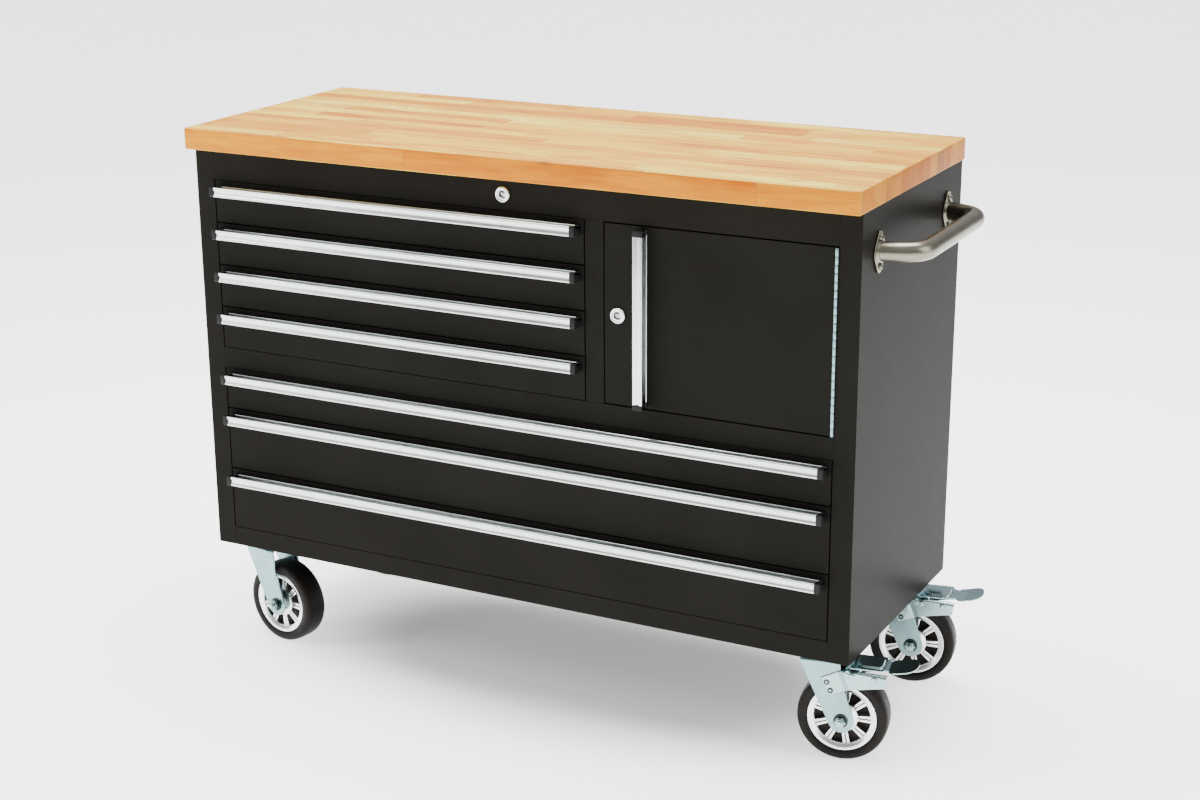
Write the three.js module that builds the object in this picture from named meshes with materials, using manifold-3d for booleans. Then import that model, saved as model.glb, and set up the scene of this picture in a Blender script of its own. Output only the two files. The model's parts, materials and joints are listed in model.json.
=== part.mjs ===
// A rolling workbench: a sheet steel cabinet on four casters under a laminated wooden top.
// Left and below are seven drawers, right is a cupboard, and a push handle is on the right-hand end.
// Millimetres, +Z up. The drawers open towards -Y. The origin is on the floor under the middle of the bench.
import * as THREE from "three";
import { mergeVertices } from "three/addons/utils/BufferGeometryUtils.js";
import Module from "manifold-3d";

// Cabinet
const CABINET_WIDTH = 1219;
const CABINET_DEPTH = 460;
const CABINET_HEIGHT = 723;
const SHEET = 1.2; // wall of every folded sheet
const FIT = 0.3; // gap between pieces that touch
const REVEAL = 2.5; // gap round a drawer front and round the door
const POST_WIDTH = 36; // front posts, folded from the side panels
const FOLD = 14; // how deep posts and rails fold back
const FLANGE = 20; // upturned and downturned edges of the decks
const TOP_RAIL = 53;
const MID_RAIL = 36;
const BOTTOM_RAIL = 32;
const SKIRT = 2.3; // how far the outer sheets reach below the caster plates
const LOWER_BAY = 302; // opening between the bottom rail and the mid rail
const CUPBOARD_WIDTH = 394;
const DIVIDER_WIDTH = 32;
const SHELF_HEIGHT = 128; // top of the cupboard shelf above the cupboard floor
const SHELF_SETBACK = 40;
const REAR_GAP = 6; // behind the divider and the shelf

// Worktop
const TOP_THICKNESS = 37;
const TOP_SIDE_OVERHANG = 4;
const TOP_FRONT_OVERHANG = 24;
const TOP_EASE = 2.5; // rounding of the worktop's edges

// Drawers
const SMALL_DRAWERS = 4;
const DEEP_DRAWERS = 2;
const SHALLOW_FRONT = 75.5; // height kept for the shallow drawer above the deep ones
const FRONT_DEPTH = 14; // thickness of a hollow drawer front
const BOX_TOP_DROP = 14; // box sides below the top of the front
const BOX_LIFT = 8; // box floor above the foot of the front
const BOX_REAR_GAP = 28; // behind a closed drawer
const SLIDE_WIDTH = 12.7;
const SLIDE_HEIGHT = 32;
const SLIDE_LIP = 8.5; // how far the two slide channels reach into each other
const SLIDE_BALL = 1.6; // gap for the balls between the two channels
const SLIDE_SETBACK = 18;
const UPRIGHT_WIDTH = 30;
const UPRIGHT_INSET = 40; // from the front and from the back of the cabinet

// Pulls: a trough of aluminium, open at its top edge
const PULL_DEPTH = 24.7;
const PULL_HEIGHT = 17.3;
const PULL_WALL = 2.5;
const PULL_LIP = 4.5; // thickness of the front lip
const PULL_BACK_HEIGHT = 14.7;
const PULL_DROP = 7; // from the top of the front to the top of the pull
const PULL_END = 13; // from the end of the front to the end of the extrusion
const DOOR_PULL_X = 60; // from the door's free edge to the pull
const DOOR_PULL_END = 11;

// Door and its piano hinge
const DOOR_DEPTH = 18;
const KNUCKLE_RADIUS = 2.8;
const KNUCKLES = 9;
const HINGE_PIN_RADIUS = 1.3;
const HINGE_PROUD = 1; // hinge line in front of the cabinet's face
const HINGE_LEAF = 0.9;
const HINGE_LEAF_DEPTH = 12;

// Cam locks
const LOCK_BEZEL_RADIUS = 13;
const LOCK_BEZEL_DEPTH = 4;
const LOCK_BODY_RADIUS = 9.5;
const LOCK_PLUG_RADIUS = 6.5;
const LOCK_LENGTH = 22; // from the panel's face to the back of the housing
const CAM_THICKNESS = 2.5;
const CAM_WIDTH = 12;
const DOOR_CAM_REACH = 34;
const MAIN_CAM_REACH = 20;
const DOOR_LOCK_X = 23.5; // from the door's free edge
const MAIN_LOCK_DROP = 27; // below the top of the cabinet

// Push handle
const HANDLE_RADIUS = 15.5;
const HANDLE_WALL = 1.5;
const HANDLE_REACH = 62; // from the side panel to the tube's centreline
const HANDLE_SPLAY = 18; // how far each leg leans towards the other
const HANDLE_BEND = 36; // from each corner of the path to the start of its bend
const HANDLE_FRONT_INSET = 69; // from the cabinet's front to the front leg
const HANDLE_REAR_INSET = 72;
const HANDLE_DROP = 72; // below the top of the cabinet
const HANDLE_FLANGE = { width: 45, height: 66, thickness: 3 };

// Casters
const CASTER_HEIGHT = 195;
const CASTER_SIDE_INSET = 67;
const CASTER_FRONT_INSET = 66;
const CASTER_REAR_INSET = 60;
const CASTER_OFFSET = 36; // how far the axle trails the swivel axis
const WHEEL_RADIUS = 75;
const TYRE_WIDTH = 46;
const TYRE_SHOULDER = 3; // drop of the tyre's shoulder below its crown
const TYRE_FLAT = 0.25; // share of the tyre's width that is flat
const TYRE_ROUND = 0.62; // share of its width where a fifth of the shoulder's drop is reached
const RIM_RADIUS = 57;
const RIM_WALL = 6;
const RIM_WIDTH = 42;
const HUB_RADIUS = 20;
const HUB_WIDTH = 52;
const HUB_TAPER = 6; // how much narrower the barrel is at its ends
const WEB_WIDTH = 14;
const WHEEL_WINDOWS = 9;
const WINDOW_GAP = { hub: 4, rim: 3 }; // from the barrel and from the rim to a window
const WINDOW_SHARE = { hub: 0.35, rim: 0.62 }; // of the web that is open, at a window's two ends
const WHEEL_SIDES = 28; // facets round the hub and the tyre, so that the two seat on each other
const PLATE = { length: 105, width: 85, thickness: 3.5 };
const RACEWAY_RADIUS = 38;
const RACEWAY_HEIGHT = 6;
const KINGPIN_RADIUS = 7;
const AXLE_RADIUS = 5;
const BORE_GAP = 0.4; // running clearance round pins and axles
const FORK_WALL = 3.5;
const FORK_SIDE_GAP = 5; // between tyre and fork leg
const FORK_TOP_LENGTH = 66; // of the legs where they leave the crown
const FORK_BOSS_RADIUS = 21;
const NUT_RADIUS = 9;
const NUT_HEIGHT = 7;

// Foot brakes of the right-hand casters
const BRAKE_SHEET = 1.5;
const BRAKE_PIN = { x: 45, z: 163, radius: 3 };
const BRAKE_EYE = 5.2;
const BRAKE_END = 108; // far end of the housing from the swivel axis
const BRAKE_TOP = 164; // top of the cheeks at the far end
// The cheeks' outline: [x, z] from the pin, then from the far end, going round.
const CHEEK_FROM_PIN = [
  [3, -36],
  [-25, -49],
  [-42, -17],
  [-12, -3],
];
const CHEEK_FROM_END = [
  [0, -1],
  [-3, -21],
  [-36, -27],
];
const BRAKE_STRIP = 10; // width of the strip that ties the cheeks
const PADDLE_REACH = 155;
const PADDLE_DIP = 1; // middle of the paddle's curve below the cheeks
const PADDLE_LIFT = 8; // tip of the paddle above the cheeks
const PADDLE_WIDTH = 54;
const PLATE_RISE = 4; // far end of the pedal's plate above the cheeks
const PANEL_INSET = { near: 16, far: 10 };
const PANEL_RISE = 2; // raised panel above the plate
const SHOE_REACH = [8, 18]; // brake shoe from the pin
const PEDAL_PLAY = 0.6;
const SHOE_GAP = 2.2; // from tyre to brake shoe when the pedal is up

// How far each caster is turned about its swivel axis, in degrees
const CASTER_TURN = { front_left: -10, front_right: 11, rear_left: 20, rear_right: 11 };

const wasm = await Module();
wasm.setup();

const finish = (color, roughness, metalness) =>
  new THREE.MeshStandardMaterial({ color, roughness, metalness });
const blackSteel = finish(0x2c2926, 0.45, 0.3);
const zinc = finish(0xaebfc4, 0.35, 0.9);
const slideSteel = finish(0xb4b6b8, 0.4, 0.9);
const stainless = finish(0xa39d92, 0.3, 1);
const aluminium = finish(0xd4d8d8, 0.3, 1);
const chrome = finish(0xe0e0e2, 0.12, 1);
const wood = finish(0xd9a05c, 0.45, 0);
const rubber = finish(0x1d1b1a, 0.8, 0);

// Places that several pieces share. x runs from the left side panel, y from the front, z from the floor.
const base = CASTER_HEIGHT;
const top = base + CABINET_HEIGHT;
const lowerBayFloor = base + BOTTOM_RAIL;
const midRailFoot = lowerBayFloor + LOWER_BAY;
const upperBayFloor = midRailFoot + MID_RAIL;
const upperBayTop = top - TOP_RAIL;
const rightPost = CABINET_WIDTH - POST_WIDTH;
const dividerRight = rightPost - CUPBOARD_WIDTH;
const dividerLeft = dividerRight - DIVIDER_WIDTH;
const forkInside = TYRE_WIDTH / 2 + FORK_SIDE_GAP;
const forkOutside = forkInside + FORK_WALL;
const plateFoot = base - FIT - PLATE.thickness;
const forkCrown = plateFoot - 2 * RACEWAY_HEIGHT - FIT;

const AXES = {
  x: new THREE.Vector3(1, 0, 0),
  y: new THREE.Vector3(0, 1, 0),
  z: new THREE.Vector3(0, 0, 1),
};
// Turns a prism built along +Z so that it runs along another axis, and its outline reads the other two.
const ALONG = {
  x: new THREE.Matrix4().makeBasis(AXES.y, AXES.z, AXES.x),
  y: new THREE.Matrix4().makeBasis(AXES.x, AXES.z, AXES.y.clone().negate()),
  z: new THREE.Matrix4(),
};

// A closed geometry as a manifold solid.
function solid(geometry) {
  const plain = geometry.clone();
  plain.deleteAttribute("normal");
  plain.deleteAttribute("uv");
  const merged = mergeVertices(plain, 1e-4);
  return new wasm.Manifold(
    new wasm.Mesh({
      numProp: 3,
      vertProperties: merged.attributes.position.array,
      triVerts: new Uint32Array(merged.index.array),
    }),
  );
}

// A manifold solid as a geometry with hard edges.
function geometryOf(body) {
  const mesh = body.getMesh();
  const geometry = new THREE.BufferGeometry()
    .setAttribute("position", new THREE.BufferAttribute(new Float32Array(mesh.vertProperties), 3))
    .setIndex(new THREE.BufferAttribute(new Uint32Array(mesh.triVerts), 1))
    .toNonIndexed();
  geometry.computeVertexNormals();
  return geometry;
}

const join = (...bodies) => bodies.reduce((sum, body) => sum.add(body));

// A box between two values on each axis.
function block([x0, x1], [y0, y1], [z0, z1]) {
  const geometry = new THREE.BoxGeometry(x1 - x0, y1 - y0, z1 - z0);
  return solid(geometry.translate((x0 + x1) / 2, (y0 + y1) / 2, (z0 + z1) / 2));
}

// A shape or a list of points pushed along an axis from low to high.
function prism(axis, outline, low, high, smooth = 12) {
  const shape = Array.isArray(outline)
    ? new THREE.Shape(outline.map(([a, b]) => new THREE.Vector2(a, b)))
    : outline;
  const options = { depth: high - low, bevelEnabled: false, curveSegments: smooth };
  const start = axis === "y" ? -high : low;
  const geometry = new THREE.ExtrudeGeometry(shape, options).translate(0, 0, start);
  return solid(geometry.applyMatrix4(ALONG[axis]));
}

// A round bar along an axis, centred on the point (a, b) of the plane across it.
function bar(axis, [a, b], low, high, radius, sides = 20) {
  const shape = new THREE.Shape().absarc(a, b, radius, 0, 2 * Math.PI);
  return prism(axis, shape, low, high, sides / 2); // a full circle gets two points for each segment
}

// A ring or disc turned about the Y axis: the profile holds [radius, y] points that close on themselves.
// A facet, not an edge, faces down.
function turned(profile, sides) {
  const points = profile.map(([radius, y]) => new THREE.Vector2(radius, y));
  return solid(new THREE.LatheGeometry([...points, points[0]], sides, Math.PI / sides));
}

const bench = new THREE.Group();

function part(name, body, material, parent = bench) {
  const mesh = new THREE.Mesh(geometryOf(body), material);
  mesh.name = name;
  parent.add(mesh);
  return mesh;
}

// ---------------------------------------------------------------- cabinet

// A side panel with its front post, as a section folded from one sheet. mirror puts it on the right.
function sidePanel(mirror) {
  const section = [
    [0, CABINET_DEPTH],
    [0, 0],
    [POST_WIDTH, 0],
    [POST_WIDTH, FOLD],
    [POST_WIDTH - SHEET, FOLD],
    [POST_WIDTH - SHEET, SHEET],
    [SHEET, SHEET],
    [SHEET, CABINET_DEPTH],
  ];
  const place = ([x, y]) => [mirror ? CABINET_WIDTH - x : x, y];
  return prism("z", section.map(place), base - SKIRT, top);
}

// A deck between the side panels: a sheet at the rail's foot or head, flanges on three sides of it,
// and a front rail that stands between the posts, folds back along its other edge and ends in a skirt.
function deck(railFoot, railHead, atHead, skirt = 0) {
  const inside = SHEET + FIT;
  const across = [inside, CABINET_WIDTH - inside];
  const between = [POST_WIDTH + FIT, rightPost - FIT];
  const rear = CABINET_DEPTH - inside;
  const sheet = atHead ? [railHead - SHEET, railHead] : [railFoot, railFoot + SHEET];
  const fold = atHead ? [railFoot, railFoot + SHEET] : [railHead - SHEET, railHead];
  const flange = atHead ? [railHead - FLANGE, railHead] : [railFoot, railFoot + FLANGE];
  return join(
    block(across, [FOLD + FIT, rear], sheet),
    block(between, [0, FOLD + 2 * FIT], sheet),
    block(between, [0, SHEET], [railFoot - skirt, railHead]),
    block(between, [0, FOLD], fold),
    block(across, [rear - SHEET, rear], flange),
    block([inside, inside + SHEET], [FOLD + FIT, rear], flange),
    block([across[1] - SHEET, across[1]], [FOLD + FIT, rear], flange),
  );
}

// The hollow post and walls between the small drawers and the cupboard, open to the rear.
function divider() {
  const rear = CABINET_DEPTH - REAR_GAP;
  const foot = upperBayFloor + FIT;
  const head = upperBayTop - FIT;
  const walls = [
    [dividerLeft, dividerLeft + SHEET],
    [dividerRight - SHEET, dividerRight],
  ];
  const raised = walls.map((wall) =>
    block(wall, [FOLD + FIT, rear], [head - FOLD, top - SHEET - FIT]),
  );
  const sides = walls.map((wall) => block(wall, [0, rear], [foot, head]));
  return join(block([dividerLeft, dividerRight], [0, SHEET], [foot, head]), ...sides, ...raised);
}

// A slot in the divider's cupboard wall, which the turned door cam passes through.
function camSlot(lockZ) {
  const camY = LOCK_LENGTH;
  return block(
    [dividerRight - 2 * SHEET, dividerRight + SHEET],
    [camY - SHEET, camY + CAM_THICKNESS + SHEET],
    [lockZ - DOOR_CAM_REACH, lockZ + CAM_WIDTH],
  );
}

function shelf() {
  const head = upperBayFloor + SHELF_HEIGHT;
  const across = [dividerRight + FIT, CABINET_WIDTH - SHEET - FIT];
  const along = [SHELF_SETBACK, CABINET_DEPTH - REAR_GAP];
  return join(
    block(across, along, [head - SHEET, head]),
    block(across, [along[0], along[0] + SHEET], [head - FLANGE, head]),
    block(across, [along[1] - SHEET, along[1]], [head - FLANGE, head]),
  );
}

function worktop() {
  const left = -TOP_SIDE_OVERHANG + TOP_EASE;
  const right = CABINET_WIDTH + TOP_SIDE_OVERHANG - TOP_EASE;
  const front = -TOP_FRONT_OVERHANG + TOP_EASE;
  const rear = CABINET_DEPTH - TOP_EASE;
  const outline = [
    [left, front],
    [right, front],
    [right, rear],
    [left, rear],
  ];
  const geometry = new THREE.ExtrudeGeometry(
    new THREE.Shape(outline.map(([x, y]) => new THREE.Vector2(x, y))),
    {
      depth: TOP_THICKNESS - 2 * TOP_EASE,
      bevelThickness: TOP_EASE,
      bevelSize: TOP_EASE,
      bevelSegments: 2,
    },
  );
  return solid(geometry.translate(0, 0, top + FIT + TOP_EASE));
}

// ---------------------------------------------------------------- drawers

// Foot and head of each drawer front in a bay, from the top one down.
function stack(heights, bayTop) {
  let head = bayTop;
  return heights.map((height) => {
    const front = { foot: head - height + REVEAL / 2, head: head - REVEAL / 2 };
    head -= height;
    return front;
  });
}

const smallPitch = (upperBayTop - upperBayFloor) / SMALL_DRAWERS;
const deepPitch = (LOWER_BAY - SHALLOW_FRONT) / DEEP_DRAWERS;
const drawers = [
  ...stack(Array(SMALL_DRAWERS).fill(smallPitch), upperBayTop).map((front) => ({
    ...front,
    left: POST_WIDTH,
    right: dividerLeft,
  })),
  ...stack([SHALLOW_FRONT, ...Array(DEEP_DRAWERS).fill(deepPitch)], midRailFoot).map((front) => ({
    ...front,
    left: POST_WIDTH,
    right: rightPost,
  })),
];
const slideCentre = (drawer) => (drawer.foot + drawer.head) / 2 - REVEAL;

// One half of a drawer slide: a channel whose web stands at x, and whose lips point along +X or -X.
function slideChannel(x, towards, halfHeight, y, z) {
  const web = [x, x + towards * SHEET].sort((a, b) => a - b);
  const lip = [x, x + towards * SLIDE_LIP].sort((a, b) => a - b);
  return join(
    block(web, y, [z - halfHeight, z + halfHeight]),
    block(lip, y, [z - halfHeight, z - halfHeight + SHEET]),
    block(lip, y, [z + halfHeight - SHEET, z + halfHeight]),
  );
}

// The fixed halves of the slides on one side of a bay, on two uprights that reach back to the wall.
function slideRack(bay, face, towards, backTo, [foot, head]) {
  const rear = CABINET_DEPTH - BOX_REAR_GAP;
  const web = [face, face - towards * SHEET].sort((a, b) => a - b);
  const depth = [face, backTo].sort((a, b) => a - b);
  const uprights = [UPRIGHT_INSET, CABINET_DEPTH - UPRIGHT_INSET - UPRIGHT_WIDTH].flatMap((y) => [
    block(web, [y, y + UPRIGHT_WIDTH], [foot, head]),
    block(depth, [y, y + SHEET], [foot, head]),
    block(depth, [y + UPRIGHT_WIDTH - SHEET, y + UPRIGHT_WIDTH], [foot, head]),
  ]);
  const channels = bay.map((drawer) =>
    slideChannel(face, towards, SLIDE_HEIGHT / 2, [SLIDE_SETBACK, rear], slideCentre(drawer)),
  );
  return join(...uprights, ...channels);
}

// The folded body of a drawer: hollow front, open box and the moving halves of its slides.
function drawerBody(drawer) {
  const across = [drawer.left + REVEAL, drawer.right - REVEAL];
  const boxAcross = [drawer.left + SLIDE_WIDTH, drawer.right - SLIDE_WIDTH];
  const foot = drawer.foot + BOX_LIFT;
  const head = drawer.head - BOX_TOP_DROP;
  const rear = CABINET_DEPTH - BOX_REAR_GAP;
  const boxY = [FRONT_DEPTH - SHEET, rear];
  const tall = [foot, head];
  const channelHeight = SLIDE_HEIGHT / 2 - SHEET - SLIDE_BALL;
  const slideY = [SLIDE_SETBACK, rear];
  const z = slideCentre(drawer);
  return join(
    block(across, [0, SHEET], [drawer.foot, drawer.head]),
    block(across, [0, FRONT_DEPTH], [drawer.foot, drawer.foot + SHEET]),
    block(across, [0, FRONT_DEPTH], [drawer.head - SHEET, drawer.head]),
    block([across[0], across[0] + SHEET], [0, FRONT_DEPTH], [drawer.foot, drawer.head]),
    block([across[1] - SHEET, across[1]], [0, FRONT_DEPTH], [drawer.foot, drawer.head]),
    block(across, [FRONT_DEPTH - SHEET, FRONT_DEPTH], [drawer.foot, head]),
    block(boxAcross, boxY, [foot, foot + SHEET]),
    block([boxAcross[0], boxAcross[0] + SHEET], boxY, tall),
    block([boxAcross[1] - SHEET, boxAcross[1]], boxY, tall),
    block(boxAcross, [rear - SHEET, rear], tall),
    slideChannel(boxAcross[0] + SHEET / 2, -1, channelHeight, slideY, z),
    slideChannel(boxAcross[1] - SHEET / 2, 1, channelHeight, slideY, z),
  );
}

// Section of a pull: depth in front of the panel against height. A back leg, a foot and a rounded lip.
function pullSection() {
  const front = -FIT - PULL_DEPTH;
  const round = PULL_LIP / 2;
  const shape = new THREE.Shape();
  shape.moveTo(-FIT, 0);
  shape.lineTo(-FIT, PULL_BACK_HEIGHT);
  shape.lineTo(-FIT - PULL_WALL, PULL_BACK_HEIGHT);
  shape.lineTo(-FIT - PULL_WALL, PULL_WALL);
  shape.lineTo(front + PULL_LIP, PULL_WALL);
  shape.lineTo(front + PULL_LIP, PULL_HEIGHT - round);
  shape.absarc(front + round, PULL_HEIGHT - round, round, 0, Math.PI);
  shape.lineTo(front, round);
  shape.absarc(front + round, round, round, Math.PI, 1.5 * Math.PI);
  return shape;
}

function drawerPull(drawer) {
  const low = drawer.left + REVEAL + PULL_END;
  const high = drawer.right - REVEAL - PULL_END;
  const foot = drawer.head - PULL_DROP - PULL_HEIGHT;
  return prism("x", pullSection(), low, high, 4).translate([0, 0, foot]);
}

// ---------------------------------------------------------------- door, hinge and locks

const doorLeft = dividerRight + REVEAL;
const hingeX = rightPost - FIT - KNUCKLE_RADIUS;
const hingeY = -HINGE_PROUD;
const doorRight = hingeX - KNUCKLE_RADIUS - FIT;
const doorFoot = upperBayFloor + REVEAL;
const doorHead = upperBayTop - REVEAL;
const doorLock = { x: doorLeft + DOOR_LOCK_X, z: (doorFoot + doorHead) / 2 };
const mainLock = { x: CABINET_WIDTH / 2, z: top - MAIN_LOCK_DROP };

// The hole that a lock's housing passes through.
const lockHole = (lock, y) =>
  bar("y", [lock.x, lock.z], y[0], y[1], LOCK_BODY_RADIUS + FIT);

// A hollow door: front skin, four folded edges and an inner skin, drilled for the lock.
function door() {
  const across = [doorLeft, doorRight];
  const tall = [doorFoot, doorHead];
  const outside = block(across, [0, DOOR_DEPTH], tall);
  const inside = block(
    [doorLeft + SHEET, doorRight - SHEET],
    [SHEET, DOOR_DEPTH - SHEET],
    [doorFoot + SHEET, doorHead - SHEET],
  );
  const through = [-SHEET, DOOR_DEPTH + SHEET];
  return outside.subtract(lockHole(doorLock, through)).subtract(inside);
}

// The same section as the drawer pulls, upright, with its open edge towards the hinge.
function doorPull() {
  const turn = new THREE.Matrix4().makeBasis(AXES.y, AXES.x, AXES.z.clone().negate());
  const options = { depth: doorHead - doorFoot - 2 * DOOR_PULL_END, bevelEnabled: false, curveSegments: 4 };
  const geometry = new THREE.ExtrudeGeometry(pullSection(), options).applyMatrix4(turn);
  return solid(geometry.translate(doorLeft + DOOR_PULL_X, 0, doorHead - DOOR_PULL_END));
}

// One leaf of the piano hinge with every second knuckle. side is +1 at the post and -1 at the door.
function hingeLeaf(side) {
  const pitch = (doorHead - doorFoot) / KNUCKLES;
  const own = side > 0 ? 0 : 1;
  const outer = hingeX + side * KNUCKLE_RADIUS;
  const leafX = [outer, outer - side * HINGE_LEAF].sort((a, b) => a - b);
  const leafY = hingeY + KNUCKLE_RADIUS + FIT;
  const pieces = [block(leafX, [leafY, HINGE_LEAF_DEPTH], [doorFoot, doorHead])];
  for (let knuckle = own; knuckle < KNUCKLES; knuckle += 2) {
    const low = doorFoot + knuckle * pitch + FIT / 2;
    const high = low + pitch - FIT;
    pieces.push(bar("z", [hingeX, hingeY], low, high, KNUCKLE_RADIUS, 12));
    pieces.push(block(leafX, [hingeY, leafY + HINGE_LEAF], [low, high]));
  }
  const leaf = join(...pieces);
  const pin = (gap) => bar("z", [hingeX, hingeY], doorFoot, doorHead, HINGE_PIN_RADIUS + gap, 10);
  return side > 0 ? leaf.add(pin(0)) : leaf.subtract(pin(BORE_GAP));
}

// A lock's bezel and barrel, turned about Y, in front of and behind the panel's face at y = 0.
function lockHousing(lock) {
  const bore = LOCK_PLUG_RADIUS + BORE_GAP;
  const profile = [
    [bore, -FIT - LOCK_BEZEL_DEPTH],
    [LOCK_BEZEL_RADIUS - 1, -FIT - LOCK_BEZEL_DEPTH],
    [LOCK_BEZEL_RADIUS, -FIT - LOCK_BEZEL_DEPTH + 1],
    [LOCK_BEZEL_RADIUS, -FIT],
    [LOCK_BODY_RADIUS, -FIT],
    [LOCK_BODY_RADIUS, LOCK_LENGTH - CAM_THICKNESS],
    [bore, LOCK_LENGTH - CAM_THICKNESS],
  ];
  return turned(profile, 24).translate([lock.x, 0, lock.z]);
}

// The turning plug with its cam, which hangs down when the lock is open.
function lockPlug(lock, reach) {
  const half = CAM_WIDTH / 2;
  const face = -FIT - LOCK_BEZEL_DEPTH;
  const cam = block(
    [lock.x - half, lock.x + half],
    [LOCK_LENGTH, LOCK_LENGTH + CAM_THICKNESS],
    [lock.z - reach, lock.z + half],
  );
  const plug = bar("y", [lock.x, lock.z], face, LOCK_LENGTH + SHEET, LOCK_PLUG_RADIUS, 20);
  return plug.add(cam);
}

// ---------------------------------------------------------------- push handle

// A bent tube welded between two flanges on the right-hand side panel. Its legs lean towards each other.
function pushHandle() {
  const face = CABINET_WIDTH + FIT;
  const z = top - HANDLE_DROP;
  const at = (x, y) => new THREE.Vector3(x, y, z);
  const frontY = HANDLE_FRONT_INSET;
  const rearY = CABINET_DEPTH - HANDLE_REAR_INSET;
  const outer = CABINET_WIDTH + HANDLE_REACH;
  const start = face - HANDLE_RADIUS / 2;
  const corners = [
    at(start, frontY),
    at(outer, frontY + HANDLE_SPLAY),
    at(outer, rearY - HANDLE_SPLAY),
    at(start, rearY),
  ];
  const near = (from, to) => to.clone().sub(from).setLength(HANDLE_BEND).add(from);
  const path = new THREE.CurvePath();
  let reached = corners[0];
  for (const i of [1, 2]) {
    const into = near(corners[i], corners[i - 1]);
    const out = near(corners[i], corners[i + 1]);
    path.add(new THREE.LineCurve3(reached, into));
    path.add(new THREE.QuadraticBezierCurve3(into, corners[i], out));
    reached = out;
  }
  path.add(new THREE.LineCurve3(reached, corners[3]));
  const section = new THREE.Shape().absarc(0, 0, HANDLE_RADIUS, 0, 2 * Math.PI);
  section.holes.push(new THREE.Path().absarc(0, 0, HANDLE_RADIUS - HANDLE_WALL, 0, 2 * Math.PI));
  const tube = new THREE.ExtrudeGeometry(section, {
    steps: 24,
    bevelEnabled: false,
    extrudePath: path,
    curveSegments: 6,
  });
  const { width, height, thickness } = HANDLE_FLANGE;
  const flange = (y) => {
    const oval = new THREE.Shape().absellipse(y, z, width / 2, height / 2, 0, 2 * Math.PI);
    oval.holes.push(new THREE.Path().absarc(y, z, HANDLE_RADIUS - 3 * HANDLE_WALL, 0, 2 * Math.PI));
    return prism("x", oval, face, face + thickness, 10);
  };
  const behind = block(
    [face - 2 * HANDLE_RADIUS, face],
    [frontY - height, rearY + height],
    [z - height, z + height],
  );
  return join(solid(tube).subtract(behind), flange(frontY), flange(rearY));
}

// ---------------------------------------------------------------- casters
// Each caster is built about its swivel axis, trailing towards +X, with its axle along Y.

function casterPlate() {
  const head = base - FIT;
  const { length, width } = PLATE;
  const pinFoot = forkCrown - FORK_WALL - BORE_GAP;
  return join(
    block([-length / 2, length / 2], [-width / 2, width / 2], [plateFoot, head]),
    bar("z", [0, 0], plateFoot - RACEWAY_HEIGHT, plateFoot + 1, RACEWAY_RADIUS - SHEET),
    bar("z", [0, 0], pinFoot - 1, plateFoot, KINGPIN_RADIUS, 16),
    bar("z", [0, 0], pinFoot - FORK_WALL, pinFoot, 1.5 * KINGPIN_RADIUS, 16),
  );
}

// A leg's outline: straight edges from the crown, tangent to the round boss at the axle.
function legOutline() {
  const half = FORK_TOP_LENGTH / 2;
  const centre = new THREE.Vector2(CASTER_OFFSET, WHEEL_RADIUS);
  const tangentAngle = (corner, side) => {
    const away = corner.clone().sub(centre);
    return away.angle() + side * Math.acos(FORK_BOSS_RADIUS / away.length());
  };
  const start = tangentAngle(new THREE.Vector2(-half, forkCrown), 1);
  const end = tangentAngle(new THREE.Vector2(half, forkCrown), -1) + 2 * Math.PI;
  const shape = new THREE.Shape();
  shape.moveTo(half, forkCrown);
  shape.lineTo(-half, forkCrown);
  shape.absarc(centre.x, centre.y, FORK_BOSS_RADIUS, start, end);
  return shape;
}

function fork() {
  const half = FORK_TOP_LENGTH / 2;
  const leg = (y) => prism("y", legOutline(), y, y + FORK_WALL, 7);
  const crown = block([-half, half], [-forkOutside, forkOutside], [forkCrown - FORK_WALL, forkCrown]);
  const race = bar("z", [0, 0], forkCrown - 1, forkCrown + RACEWAY_HEIGHT, RACEWAY_RADIUS);
  const body = join(crown, race, leg(-forkOutside), leg(forkInside));
  const axle = [CASTER_OFFSET, WHEEL_RADIUS];
  return body
    .subtract(bar("z", [0, 0], forkCrown - 2 * FORK_WALL, plateFoot, KINGPIN_RADIUS + BORE_GAP, 16))
    .subtract(bar("y", axle, -2 * forkOutside, 2 * forkOutside, AXLE_RADIUS + FIT, 16));
}

// The axle bolt with its hexagonal head and nut outside the fork legs.
function axle() {
  const at = [CASTER_OFFSET, WHEEL_RADIUS];
  const seat = forkOutside + FIT;
  const end = seat + NUT_HEIGHT;
  return join(
    bar("y", at, -end - FORK_WALL, end, AXLE_RADIUS, 12),
    bar("y", at, -end, -seat, NUT_RADIUS, 6),
    bar("y", at, seat, end, NUT_RADIUS, 6),
  );
}

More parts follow.
